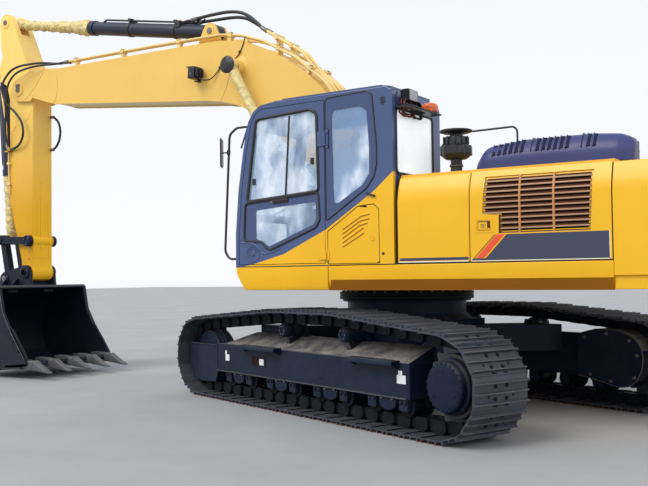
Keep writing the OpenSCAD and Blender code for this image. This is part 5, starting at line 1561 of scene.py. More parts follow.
def on_top():
    b = Bag()
    c = Vector((-.985, .80, 2.26))
    up = (0, 0, 1)
    b.add(lathe(c, up, [(.080, 0), (.080, .012), (.058, .016), (.056, .110), (.064, .112), (.064, .135), (.055, .137), (.055, .180), (.098, .186), (.120, .200), (.148, .232), (.150, .300), (.128, .318), (.112, .330), (.110, .375), (.104, .400),
                            (.060, .404), (.058, .432), (.120, .434), (.155, .446), (.160, .458), (.150, .466), (.060, .4690), (0, .4695)], 48), "black")
    for k in range(10):
        a = k * 2 * math.pi / 10
        d = Vector((math.cos(a), math.sin(a), 0))
        p = c + d * .118 + Vector((0, 0, .325))
        b.add(tube([p + Vector((0, 0, .0)), p + Vector((0, 0, .075))], .010, 8), "black")
        b.add(box((-.012, -.004, -.045), (.012, .010, .045)), "black", Matrix.Translation(c + d * .143 + Vector((0, 0, .265))) @ Matrix.Rotation(a - math.pi / 2, 4, "Z"))
    b.add(tube([(c.x + .062 * math.cos(t), c.y + .062 * math.sin(t), 2.382) for t in [2 * math.pi * k / 24 for k in range(24)]], .006, 6, closed=True), "steel")
    b.make("pre_cleaner_body", "upper", bevel=.002, seg=1, replaces="pre_cleaner")
    b = Bag()
    c = Vector((-2.15, -1.15, 2.26))
    b.add(lathe(c, up, [(.085, 0), (.085, .055), (.078, .060), (.062, .062), (.062, .36), (.065, .362), (.065, .380), (.062, .382), (.062, .478), (.058, .480), (.054, .478), (.054, .14), (0, .14)], 40), "steel")
    ring_bolts(b, c + Vector((0, 0, .058)), up, .074, 6, .007, .006, "steel")
    b.make("exhaust_pipe", "upper", replaces="exhaust_stack")
    # beacon: shelf on the cab's rear edge, orange lamp, black lamp on its post
    b = Bag()
    b.add(prism([(-.671, 2.884), (-.671, 2.896), (-.835, 2.896), (-.835, 2.890), (-.829, 2.884)], .790, 1.450), "black")
    for y in (.84, 1.10, 1.40):
        b.add(prism([(-.6715, 2.8845), (-.6715, 2.8960), (-.80, 2.8960), (-.80, 2.8945)], y - .01, y + .01), "black")
    c = Vector((-.754, .885, 2.894))
    b.add(lathe(c, up, [(.062, 0), (.079, .003), (.079, .015), (.073, .018)], 40), "black")
    b.add(lathe(c, up, [(.073, .016), (.0765, .021), (.0765, .048), (.0735, .052), (.0765, .056), (.0765, .075), (.070, .089), (.056, .100), (.033, .1060), (0, .1078)], 40), "orange")
    for k in range(12):
        a = k * math.pi / 6
        d = Vector((math.cos(a), math.sin(a), 0))
        b.add(tube([c + d * .0758 + Vector((0, 0, .019)), c + d * .0763 + Vector((0, 0, .075)), c + d * .061 + Vector((0, 0, .0970))], .0034, 6, 3), "orange")
    b.add(prism(round_poly([(-.785, 2.950), (-.712, 2.950), (-.695, 2.965), (-.695, 3.048), (-.710, 3.062), (-.785, 3.062)], .012, 4), 1.190, 1.370), "lamp_black")
    b.add(prism(round_poly([(-.787, 2.958), (-.780, 2.958), (-.780, 3.054), (-.787, 3.054)], .002, 2), 1.202, 1.358), "lens")
    b.add(cyl((-.740, 1.28, 2.892), (-.740, 1.28, 2.955), .013, 14), "black")
    b.add(prism([(-.770, 2.896), (-.710, 2.896), (-.710, 2.902), (-.770, 2.902)], 1.235, 1.325), "black")
    for y in (1.25, 1.31):
        b.add(hexbolt((-.725, y, 2.902), up, .009, .007), "steel")
    b.make("beacon_set", "upper", bevel=.002, seg=1, replaces="beacon")
    # loose coils of wire under and beside the lamps
    b = Bag()

    def coil(c, ry, rz, dx, turns, r, mat, ph=0.0):
        pts = []
        n = 14 * turns
        for i in range(n + 1):
            t = 2 * math.pi * i / 14 + ph
            q = Vector((i * 1.7 + ph, c[1] * 9, 0))
            k = 1 + .22 * mn.noise(q * .37)
            pts.append((c[0] + dx * (i / n - .5) + .006 * mn.noise(q), c[1] + ry * k * math.cos(t) + .012 * math.sin(t * .37), c[2] + rz * k * math.sin(t) + .010 * mn.noise(q * .9)))
        b.add(tube(pts, r, 6, 2), mat)
    coil((-.722, 1.13, 2.925), .090, .048, .060, 4, .0085, "rubber")
    coil((-.705, 1.25, 2.865), .120, .040, .040, 3, .0080, "wire_red", .6)
    coil((-.700, 1.05, 2.862), .085, .030, .040, 3, .0080, "rubber", 1.9)
    coil((-.735, 1.33, 2.930), .060, .045, .050, 3, .0075, "wire_red", 2.5)
    b.add(tube([(-.745, .95, 2.905), (-.765, 1.02, 2.885), (-.745, 1.10, 2.868), (-.700, 1.18, 2.850), (-.690, 1.30, 2.860), (-.700, 1.38, 2.900)], .0075, 6, 5), "rubber")
    b.add(tube([(-.700, 1.38, 2.900), (-.688, 1.42, 2.930), (-.684, 1.435, 2.990), (-.686, 1.420, 3.030)], .0065, 6, 5), "rubber")
    b.make("beacon_wires", "upper", slot="dark_plastic")


on_top()


def wire(b, pts, r, mat="rubber", k=6):
    b.add(tube(pts, r, 8, k), mat)


def rails():
    b = Bag()
    b.add(tube(rounded_path([Vector((x, 1.44, z)) for x, z in mm([(1013, 2880), (1180, 2880), (1275, 2820), (1345, 1610), (1290, 1530), (1160, 1530)])], .09, 6), .0125, 12), "black")
    for R in ([(1400, 1470), (1400, 2860), (1300, 2960), (520, 2960), (430, 2880), (430, 2262)], [(340, 2262), (340, 2790), (190, 2975), (50, 3076), (-710, 3085), (-753, 3040), (-753, 2262)]):
        b.add(tube(rounded_path([Vector((x, -1.42, z)) for x, z in mm(R)], .10, 6), .0125, 12), "black")
    b.add(cyl((1.372, -1.42, 1.48), (1.400, -1.42, 1.48), .0155, 12), "black")
    b.add(cyl((1.372, -1.42, 1.90), (1.400, -1.42, 1.90), .0155, 12), "black")
    for x in (.43, .34, -.753):
        b.add(lathe((x, -1.42, 2.262), (0, 0, 1), [(.034, 0), (.034, .006), (.018, .009), (.0155, .016)], 20), "black")
        for s in (-1, 1):
            b.add(hexbolt((x + s * .0, -1.42 + s * .026, 2.267), (0, 0, 1), .006, .006), "steel")
    for z, x in ((2.88, 1.004), (1.53, 1.160)):
        b.add(lathe((x, 1.44, z), (1, 0, 0), [(.030, 0), (.030, .006), (.018, .010), (.0125, .016)], 20), "black")
    b.make("rails_round", "upper", replaces="grab_rails")
    # mirrors: domed back, rim, glass, clamp and arm
    b = Bag()
    T = Matrix.Translation((1.374, 1.450, 2.635)) @ Matrix.Rotation(math.radians(-57), 4, "Z")
    sec = round_poly([(-.094, -.149), (.094, -.149), (.094, .149), (-.094, .149)], .035, 5)
    b.add(prism([(x, z) for x, z in sec], -.002, .008), "black", T)
    b.add(prism([(x * .93, z * .95) for x, z in sec], -.0085, -.002), "black", T)
    b.add(prism([(x * .95, z * .97) for x, z in sec], .0080, .0088), "chrome", T)
    b.add(tube([(1.297, 1.445, 2.635), (1.335, 1.450, 2.635), (1.368, 1.448, 2.635)], .007, 8, 3), "black")
    b.add(cyl((1.290, 1.440, 2.610), (1.288, 1.440, 2.660), .019, 16), "black")
    sec = round_poly([(-.078, -.154), (.078, -.154), (.078, .154), (-.078, .154)], .035, 5)
    b.add(prism_x([(y - 1.409, z + 2.635) for y, z in sec], 1.420, 1.436), "black")
    b.add(prism_x([(y * .93 - 1.409, z * .95 + 2.635) for y, z in sec], 1.4175, 1.4195), "chrome")
    b.add(cyl((1.400, -1.42, 2.60), (1.400, -1.42, 2.67), .021, 16), "black")
    b.add(cyl((1.405, -1.42, 2.635), (1.422, -1.42, 2.635), .010, 12), "black")
    b.make("mirror_set", "upper", bevel=.002, seg=2, replaces="mirrors")


rails()

# ------------------------------------------------------------------ boom
FOOT, NOSE, LIFT_LO, LIFT_HI, CROWD_LO, TAIL, CURL_HI = (.120, 2.000), (6.180, 4.100), (.700, 1.420), (2.110, 3.860), (2.660, 4.425), (6.540, 5.150), (6.790, 4.400)
TIPLINK, ELBOW, TIP, HEEL = (5.990, 1.900), (6.610, 1.930), (6.035, 1.450), (6.480, 1.360)


def pt(p, y):
    return Vector((p[0], y, p[1]))


def curve2(pts, k=5):
    return [(p.x, p.z) for p in smooth_path([(x, 0, z) for x, z in pts], k)]


TOP = curve2(mm([(20, 2120), (300, 2640), (640, 3120), (936, 3487), (1321, 3812), (1789, 4073), (2115, 4187), (2400, 4235), (2698, 4249)]))
TOP_FLAT = mm([(3542, 4266), (5325, 4298)])
NOSE_TOP = mm([(5330, 4298), (5600, 4331), (5877, 4353)])
BOTTOM = curve2(mm([(2599, 3521), (2250, 3450), (1928, 3300), (1400, 2868), (800, 2369), (215, 1880)]))


def boom_pieces():
    b = Bag()
    lip = .010
    side = TOP + TOP_FLAT + [(5.600, 4.331)] + round_poly(mm([(5877, 4354), (6080, 4300), (6290, 4230), (6350, 4110), (6300, 3980), (6180, 3930), (5900, 3900)]), .05, 4) + mm([(5416, 3804)]) + BOTTOM + curve2(mm([(215, 1880), (120, 1868), (22, 1915), (-8, 2010), (20, 2120)]), 4)[1:-1]
    for y0, y1 in ((.184, .220), (-.220, -.184)):
        b.add(plate(side, [], y0, y1), "boom")
    core = offset_poly(TOP + TOP_FLAT + mm([(5380, 4300), (5380, 3800)]) + BOTTOM, -lip)
    b.add(plate(core, [], -.1845, .1845), "boom")
    # foot tube with its flanges and the through pin bosses
    for s in (-1, 1):
        b.add(lathe(pt(FOOT, s * .2), (0, s, 0), [(.128, 0), (.130, .004), (.130, .042), (.124, .050), (.052, .050), (.052, .0)], 40), "boom")
        b.add(lathe(pt(LIFT_HI, s * .215), (0, s, 0), [(.130, 0), (.125, .008), (.098, .014), (.095, .020), (.095, .100), (.090, .106), (.050, .106), (.050, .10)], 40), "boom")
        b.add(lathe(pt(NOSE, s * .218), (0, s, 0), [(.096, 0), (.096, .012), (.090, .018), (.046, .018)], 40), "boom")
        b.add(lathe(pt(NOSE, s * .20), (0, s, 0), [(.045, 0), (.045, .040), (.041, .045), (0, .045)], 28), "steel")
        b.add(plate(round_poly(mm([(6150, 4070), (6210, 4070), (6225, 4180), (6135, 4180)]), .01), [], *(sorted((s * .236, s * .2455)))), "steel")
        for dx in (-.022, .022):
            b.add(hexbolt((6.18 + dx, s * .2455, 4.155), (0, s, 0), .010, .006), "steel")
    for s in (-1, 1):
        ear = round_poly(mm([(2470, 4222), (2870, 4236), (2765, 4460), (2720, 4518), (2640, 4528), (2575, 4490)]), .03, 4)
        b.add(plate(ear, [], *(sorted((s * .076, s * .108)))), "boom")
        b.add(lathe(pt(CROWD_LO, s * .106), (0, s, 0), [(.062, 0), (.062, .006), (.055, .010), (.040, .010)], 32), "boom")
        b.add(lathe(pt(CROWD_LO, s * .100), (0, s, 0), [(.040, 0), (.040, .022), (.036, .026), (0, .026)], 24), "steel")
    b.add(cyl(pt(CROWD_LO, -.1), pt(CROWD_LO, .1), .040, 24), "steel")
    b.make("boom_box", "boom", bevel=.004, seg=2, angle=30, replaces="boom")
    # weld beads: along the plates, round the nose casting and the ears
    b = Bag()
    for s in (-1, 1):
        y = s * .1840
        b.add(tube([(x, y, z) for x, z in offset_poly(TOP + TOP_FLAT + mm([(5380, 4300), (5380, 3800)]) + BOTTOM, -lip + .001)], .0055, 6, closed=True), "boom")
        arc = [(5.44 + .06 * math.cos(t) * 1.0 - .09 * math.sin(t / 1.0) ** 2, s * .2205, 4.06 + .25 * math.sin(t)) for t in [-math.pi / 2 + math.pi * k / 12 for k in range(13)]]
        b.add(tube([(5.43, s * .2203, 4.295), (5.375, s * .2203, 4.22), (5.352, s * .2203, 4.06), (5.375, s * .2203, 3.90), (5.43, s * .2203, 3.815)], .0060, 6, 5), "boom")
        b.add(tube([(2.30, s * .2203, 4.213), (2.225, s * .2203, 4.00), (2.29, s * .2203, 3.70), (2.40, s * .2203, 3.492)], .0045, 6, 5), "boom")
        b.add(tube([(.55, s * .2203, 2.995), (.66, s * .2203, 2.78), (.80, s * .2203, 2.60), (.96, s * .2203, 2.505)], .0045, 6, 5), "boom")
        b.add(lathe(pt(LIFT_HI, s * .2195), (0, s, 0), [(.142, 0), (.142, .002), (.128, .006), (.128, 0)], 40), "boom")
        b.add(tube([(5.62, s * .2203, 4.325), (5.72, s * .2203, 4.20), (5.92, s * .2203, 4.02), (6.07, s * .2203, 3.925)], .0045, 6, 5), "boom")
    b.make("boom_welds", "boom")
    # cross plates between the cheeks at the nose
    b = Bag()
    b.add(prism(round_poly(mm([(5398, 3815), (5450, 3823), (5450, 3843), (5398, 3836)]), .003), -.184, .184), "boom")
    b.add(prism(mm([(5375, 3815), (5400, 3815), (5400, 4290), (5375, 4290)]), -.184, .184), "boom")
    b.make("boom_nose_plates", "boom", bevel=.002, seg=1)


boom_pieces()

PIPE = mm([(420, 2880), (900, 3545), (1310, 3890), (1780, 4150), (2110, 4265), (2420, 4320), (3540, 4350), (5170, 4376)])


def pipes():
    b = Bag()
    for s in (-1, 1):
        for y, r in ((.150, .0185), (.192, .0145)):
            b.add(tube(rounded_path([Vector((x, s * y, z)) for x, z in PIPE], .35, 8), r, 12), "cream")
            # flanged ends
            for i, j in ((0, 1), (-1, -2)):
                p, q = pt(PIPE[i], s * y), pt(PIPE[j], s * y)
                d = (q - p).normalized()
                b.add(lathe(p, d, [(r * .6, 0), (r * 1.55, 0), (r * 1.55, .016), (r * 1.25, .020), (r * 1.25, .034), (r, .040)], 14), "steel")
        # clamps with two bolts, and cross bars that carry them
        for x, z in ((.66, 3.225), (1.10, 3.728), (1.545, 4.030), (2.26, 4.292), (3.10, 4.339), (4.10, 4.359), (5.00, 4.3735)):
            sl = .0 if x > 2.3 else (.35 if x > 1.5 else .78)
            T = Matrix.Translation((x, 0, z)) @ Matrix.Rotation(-math.atan(sl), 4, "Y")
            lo, hi = (.126, .212) if s > 0 else (-.212, -.126)
            b.add(box((-.026, lo, -.022), (.026, hi, .024)), "cream", T)
            b.add(box((-.030, lo - .004, .020), (.030, hi + .004, .027)), "cream", T)
            b.add(box((-.022, (lo + hi) / 2 - .03, -.105), (.022, (lo + hi) / 2 + .03, -.02)), "cream", T)
            for dy in (-.0, ):
                b.add(lathe(T @ Vector((0, (lo + hi) / 2 + .006, .026)), T.to_3x3() @ Vector((0, 0, 1)), [(.011, 0), (.011, .010), (.008, .013), (0, .013)], 6), "steel")
                b.add(lathe(T @ Vector((0, hi - .010 if s > 0 else lo + .010, .026)), T.to_3x3() @ Vector((0, 0, 1)), [(.009, 0), (.009, .009), (0, .011)], 6), "steel")
    b.make("boom_pipe_lines", "boom", replaces="boom_pipes", slot="cream_wrap")


pipes()
MADE = []


def hose(name, pts, r, body, k=8, mat="hose", blend=None, replaces=None):
    P = smooth_path(pts, k)
    ln = sum((b - a).length for a, b in zip(P, P[1:]))
    b = Bag()
    b.add(tube(P, r, 12), mat)
    o = b.make(name, None if blend else body, angle=60, slot=SLOT[mat], replaces=replaces)
    if blend:
        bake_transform(o)
    MADE.append((name, round(ln, 2)))
    return P


def ferrule(b, p, q, r, n=.07):
    """Crimped end and hexagon nut of a hose, from p towards q."""
    p, q = Vector(p), Vector(q)
    d = (q - p).normalized()
    b.add(lathe(p - d * .012, d, [(r * .9, 0), (r * 1.30, .002), (r * 1.30, .020), (r * 1.12, .022), (r * 1.12, .028), (r * 1.25, .030), (r * 1.25, .030 + n), (r * 1.05, .034 + n)], 12), "steel")


def boom_hoses():
    f = Bag()
    # two arching hoses from the pipes on the boom's back to the arm cylinder
    ARCH = (("left", 1, ((1818, 4303), (1880, 4350), (1960, 4425), (2060, 4510), (2180, 4580), (2310, 4618), (2450, 4636), (2590, 4640), (2730, 4640), (2860, 4636), (2960, 4632), (3000, 4630))),
            ("right", -1, ((1818, 4303), (1890, 4345), (1990, 4410), (2090, 4478), (2200, 4540), (2320, 4575), (2450, 4592), (2590, 4600), (2730, 4606), (2860, 4612), (2960, 4616), (3000, 4616))))
    ends = []
    for nm, s, row in ARCH:
        n = len(row) - 1
        P = hose("hose_arch_" + nm, [(x / 1000, s * (.055 - .005 * i / n), z / 1000) for i, (x, z) in enumerate(row)], .021, "boom", 4, replaces="arch_hose_" + nm)
        ends.append(P)
    P1, P2 = ends
    for P in (P1, P2):
        ferrule(f, P[0], P[3], .021)
        ferrule(f, P[-1], P[-4], .021)
    for s in (-1, 1):
        y = s * .055
        f.add(tube(rounded_path([Vector((x, y, z)) for x, z in ((.42, 2.88), (.90, 3.545), (1.12, 3.74), (1.285, 3.96), (1.60, 4.165), (1.815, 4.301))], .25, 8), .0195, 12), "cream")
    for x, z in ((1.45, 4.067), (1.66, 4.203)):
        f.add(box((x - .022, -.085, z - .03), (x + .022, .085, z + .026)), "cream")
        f.add(box((x - .020, -.045, z - .22), (x + .020, .045, z - .02)), "cream")
        for s in (-1, 0, 1):
            f.add(hexbolt((x, s * .075 if s else 0, z + .026), (0, 0, 1), .010, .009), "steel")
    f.make("hose_ends_boom", "boom", bevel=.0012, seg=1)
    # the elbow on the barrel, in front of the hoses
    g = Bag()
    for s in (-1, 1):
        z = 4.630 if s > 0 else 4.616
        g.add(tube(rounded_path([Vector(p) for p in ((3.012, s * .050, z), (3.080, s * .050, z + .004), (3.160, s * .052, 4.622), (3.205, s * .060, 4.585), (3.215, s * .064, 4.540))], .04, 5), .0165, 10), "black")
    g.add(box((3.180, -.095, 4.560), (3.262, .095, 4.650)), "black")
    # whitish fitting over the hose ends
    g.add(box((3.195, -.060, 4.650), (3.247, .060, 4.668)), "cream")
    g.make("barrel_ports", "arm_cylinder", bevel=.003, seg=2)


boom_hoses()


def lamp():
    b = Bag()
    c = Vector((2.725, .2200, 3.845))
    b.add(box((2.685, .2195, 3.775), (2.765, .2320, 3.915)), "boom")
    b.add(prism_x([(.232, 3.760), (.310, 3.760), (.310, 3.772), (.244, 3.772), (.244, 3.870), (.232, 3.870)], 2.700, 2.750), "black")
    T = Matrix.Translation((2.735, .310, 3.862)) @ Matrix.Rotation(math.radians(-4), 4, "Y")
    b.add(prism_x(round_poly([(-.078, -.072), (.078, -.072), (.078, .072), (-.078, .072)], .020, 5), -.055, .045), "black", T)
    b.add(prism_x(round_poly([(-.060, -.054), (.060, -.054), (.060, .054), (-.060, .054)], .020, 5), -.085, -.055), "black", T)
    b.add(prism_x(round_poly([(-.070, -.064), (.070, -.064), (.070, .064), (-.070, .064)], .018, 5), .045, .054), "lens", T)
    b.add(prism_x(round_poly([(-.080, .066), (.080, .066), (.080, .074), (-.080, .074)], .003, 2), -.055, .085), "black", T)
    for k in range(5):
        b.add(box((-.095, -.055 + k * .025, -.050), (-.055, -.047 + k * .025, .050)), "black", T)
    for s in (-1, 1):
        b.add(lathe(T @ Vector((0, s * .078, -.02)), (0, s, 0), [(.012, 0), (.012, .006), (.009, .009), (0, .009)], 12), "steel")
    b.make("work_lamp", "boom", bevel=.002, seg=2)
    b = Bag()
    b.add(tube([(2.655, .325, 3.800), (2.60, .312, 3.762), (2.52, .262, 3.775), (2.44, .236, 3.850), (2.38, .233, 3.915), (2.31, .240, 3.935), (2.255, .232, 3.930)], .0075, 8, 6), "rubber")
    b.add(tube([(2.255, .232, 3.930), (2.20, .228, 3.960), (2.120, .228, 4.010), (2.065, .226, 4.090), (2.030, .224, 4.165), (2.025, .212, 4.215), (2.03, .196, 4.245)], .0065, 8, 6), "rubber")
    for x, z in ((2.40, 3.905), (2.09, 4.052)):
        b.add(box((x - .012, .2195, z - .012), (x + .012, .242, z + .012)), "rubber")
    b.make("lamp_wire", "boom")


lamp()

# ------------------------------------------------------------------ arm
rounded("arm", "arm", .009, "arm", 3, angle=24)


def arm_trim():
    b = Bag()
    for s in (-1, 1):
        y = s * .1655
        # bosses and pin ends
        b.add(lathe(pt(TIP, s * .165), (0, s, 0), [(.124, 0), (.124, .010), (.118, .014), (.052, .014)], 40), "arm")
        b.add(lathe(pt(NOSE, s * .165), (0, s, 0), [(.150, 0), (.150, .005), (.145, .007), (.05, .007)], 40), "arm")
        b.add(lathe(pt(TIPLINK, s * .165), (0, s, 0), [(.092, 0), (.090, .006), (.085, .013), (.041, .013)], 36), "arm")
        b.add(lathe(pt(TIPLINK, s * .232), (0, s, 0), [(.075, 0), (.080, .004), (.080, .012), (.072, .018), (.030, .019), (.024, .012), (0, .012)], 36), "under")
        for k in range(3):
            a = k * 2 * math.pi / 3 + .4
            b.add(hexbolt(pt((TIPLINK[0] + .055 * math.cos(a), TIPLINK[1] + .055 * math.sin(a)), s * .2505), (0, s, 0), .010, .007), "steel")
        # weld beads; the outline of a reinforcing plate low on the side is worked out but not added
        rp = round_poly(mm([(5940, 1620), (6150, 1640), (6290, 2080), (6400, 2480), (6400, 2620), (6240, 2560), (5942, 2480)]), .05, 4)
        b.add(tube([(x, y, z) for x, z in curve2(mm([(5955, 3800), (6060, 3660), (6300, 3580), (6440, 3480)]), 6)], .0045, 6), "arm")
        b.add(tube([(x, y, z) for x, z in mm([(5942, 1640), (5942, 3850), (5957, 4215)])], .0045, 6), "arm")
        b.add(tube([(x, y, z) for x, z in mm([(6178, 1640), (6430, 2500), (6434, 3990), (6545, 4400)])], .0045, 6), "arm")
        # ears of the bucket cylinder: boss and pin end
        b.add(lathe(pt(CURL_HI, s * .112), (0, s, 0), [(.064, 0), (.064, .006), (.056, .009), (.038, .009)], 32), "arm")
        b.add(lathe(pt(CURL_HI, s * .108), (0, s, 0), [(.038, 0), (.038, .012), (.034, .016), (0, .016)], 24), "steel")
    # two small orange-red marks by the grease points
    for z in (1.741, 1.645):
        b.add(lathe((6.025, .1650, z), (0, 1, 0), [(.016, 0), (.015, .004), (.006, .006), (.006, .012), (0, .013)], 14), "orange")
    # raised rib on the rear face and its closing plate
    b.add(prism_x(round_poly([(-.045, 1.78), (.045, 1.78), (.030, 2.75), (-.030, 2.75)], .012), 5.925, 5.9305), "arm")
    b.add(prism_x(round_poly([(-.120, 1.70), (-.105, 1.70), (-.085, 2.50), (-.095, 2.50)], .004), 5.926, 5.931), "arm")
    b.add(prism_x(round_poly([(.105, 1.70), (.120, 1.70), (.095, 2.50), (.085, 2.50)], .004), 5.926, 5.931), "arm")
    b.add(box((5.924, -.160, 1.655), (5.932, .160, 1.670)), "arm")
    # tail pin of the arm cylinder
    for s in (-1, 1):
        b.add(lathe(pt(TAIL, s * .163), (0, s, 0), [(.085, 0), (.085, .010), (.076, .014), (.042, .014)], 32), "arm")
        b.add(lathe(pt(TAIL, s * .160), (0, s, 0), [(.040, 0), (.040, .022), (.036, .026), (0, .026)], 24), "steel")
    # bracket for the hoses at the front edge
    b.add(box((6.395, .1650, 3.215), (6.475, .2400, 3.228)), "arm")
    b.add(box((6.395, .1650, 3.215), (6.405, .2400, 3.275)), "arm")
    b.make("arm_trim", "arm", bevel=.0015, seg=1)


arm_trim()


def arm_hoses():
    f = Bag()
    # arc behind the arm
    P = hose("hose_arm_rear", [(x / 1000, -.150, z / 1000) for x, z in ((5929, 3720), (5880, 3718), (5825, 3690), (5770, 3640), (5735, 3570), (5722, 3490), (5733, 3405), (5765, 3330), (5815, 3275), (5880, 3242), (5929, 3240))], .017, "arm", 4, replaces="arm_hose")
    ferrule(f, P[0], P[3], .017, .05)
    ferrule(f, P[-1], P[-4], .017, .05)
    # S-shaped hoses on the side, from the boom's pipes to the arm's front edge
    S1 = [(5.185, .150, 4.376), (5.40, .158, 4.385), (5.70, .215, 4.425), (5.925, .285, 4.418), (6.12, .300, 4.405), (6.28, .300, 4.355), (6.425, .298, 4.230), (6.455, .292, 4.085), (6.36, .285, 3.900), (6.20, .275, 3.770), (6.075, .262, 3.620), (6.045, .250, 3.470), (6.110, .232, 3.345), (6.230, .212, 3.275), (6.395, .188, 3.252)]
    S2 = [(5.185, .192, 4.376), (5.42, .205, 4.372), (5.72, .270, 4.375), (5.95, .338, 4.335), (6.12, .345, 4.285), (6.25, .340, 4.180), (6.305, .335, 4.040), (6.335, .325, 3.880), (6.355, .310, 3.740), (6.400, .285, 3.600), (6.440, .250, 3.480), (6.448, .215, 3.360), (6.446, .188, 3.240)]
    P1 = hose("hose_side_1", S1, .0165, None, blend=("boom", "arm", (5.75, 0, 4.40), (6.35, 0, 3.70)))
    P2 = hose("hose_side_2", S2, .0150, None, blend=("boom", "arm", (5.75, 0, 4.40), (6.35, 0, 3.70)))
    g = Bag()
    for P, r in ((P1, .0165), (P2, .0150)):
        ferrule(g, P[0], P[3], r, .05)
        ferrule(f, P[-1], P[-4], r, .05)
    g.make("hose_ends_nose", "boom")
    # steel pipes down the arm's front edge from there to the bucket cylinder
    f.add(tube(rounded_path([Vector(p) for p in ((6.395, .188, 3.252), (6.470, .188, 3.262), (6.485, .190, 3.300), (6.485, .200, 3.60), (6.560, .190, 3.90), (6.66, .150, 4.15))], .05, 5), .0125, 10), "cream")
    f.add(tube(rounded_path([Vector(p) for p in ((6.446, .188, 3.240), (6.446, .188, 3.120), (6.446, .186, 2.95), (6.430, .180, 2.60))], .05, 5), .0120, 10), "cream")
    for z in (3.05, 2.75):
        f.add(box((6.410, .155, z - .02), (6.470, .205, z + .02)), "cream")
    f.make("hose_ends_arm", "arm", bevel=.001, seg=1)
    # hoses at the boom's foot, from the valve to the pipes
    h = Bag()
    for i, y in enumerate((.150, .055, -.055, -.150)):
        P = hose("hose_foot_%d" % (i + 1), [(.420, y, 2.880), (.375, y, 2.815), (.315, y * 1.02, 2.700), (.200, y * 1.04, 2.560), (.020, y * 1.04, 2.400), (-.160, y, 2.210), (-.300, y * .95, 1.980), (-.420, y * .9, 1.740), (-.560, y * .9, 1.560), (-.760, y * .9, 1.500), (-.830, y * .9, 1.5)], .019, None, blend=("upper", "boom", (-.30, 0, 1.98), (.36, 0, 2.80)))
        ferrule(h, P[0], P[3], .019, .05)
    h.make("hose_ends_foot", "boom")


arm_hoses()

# ------------------------------------------------------------------ bucket
rounded("bucket", "bucket", .005, "bucket", 2)


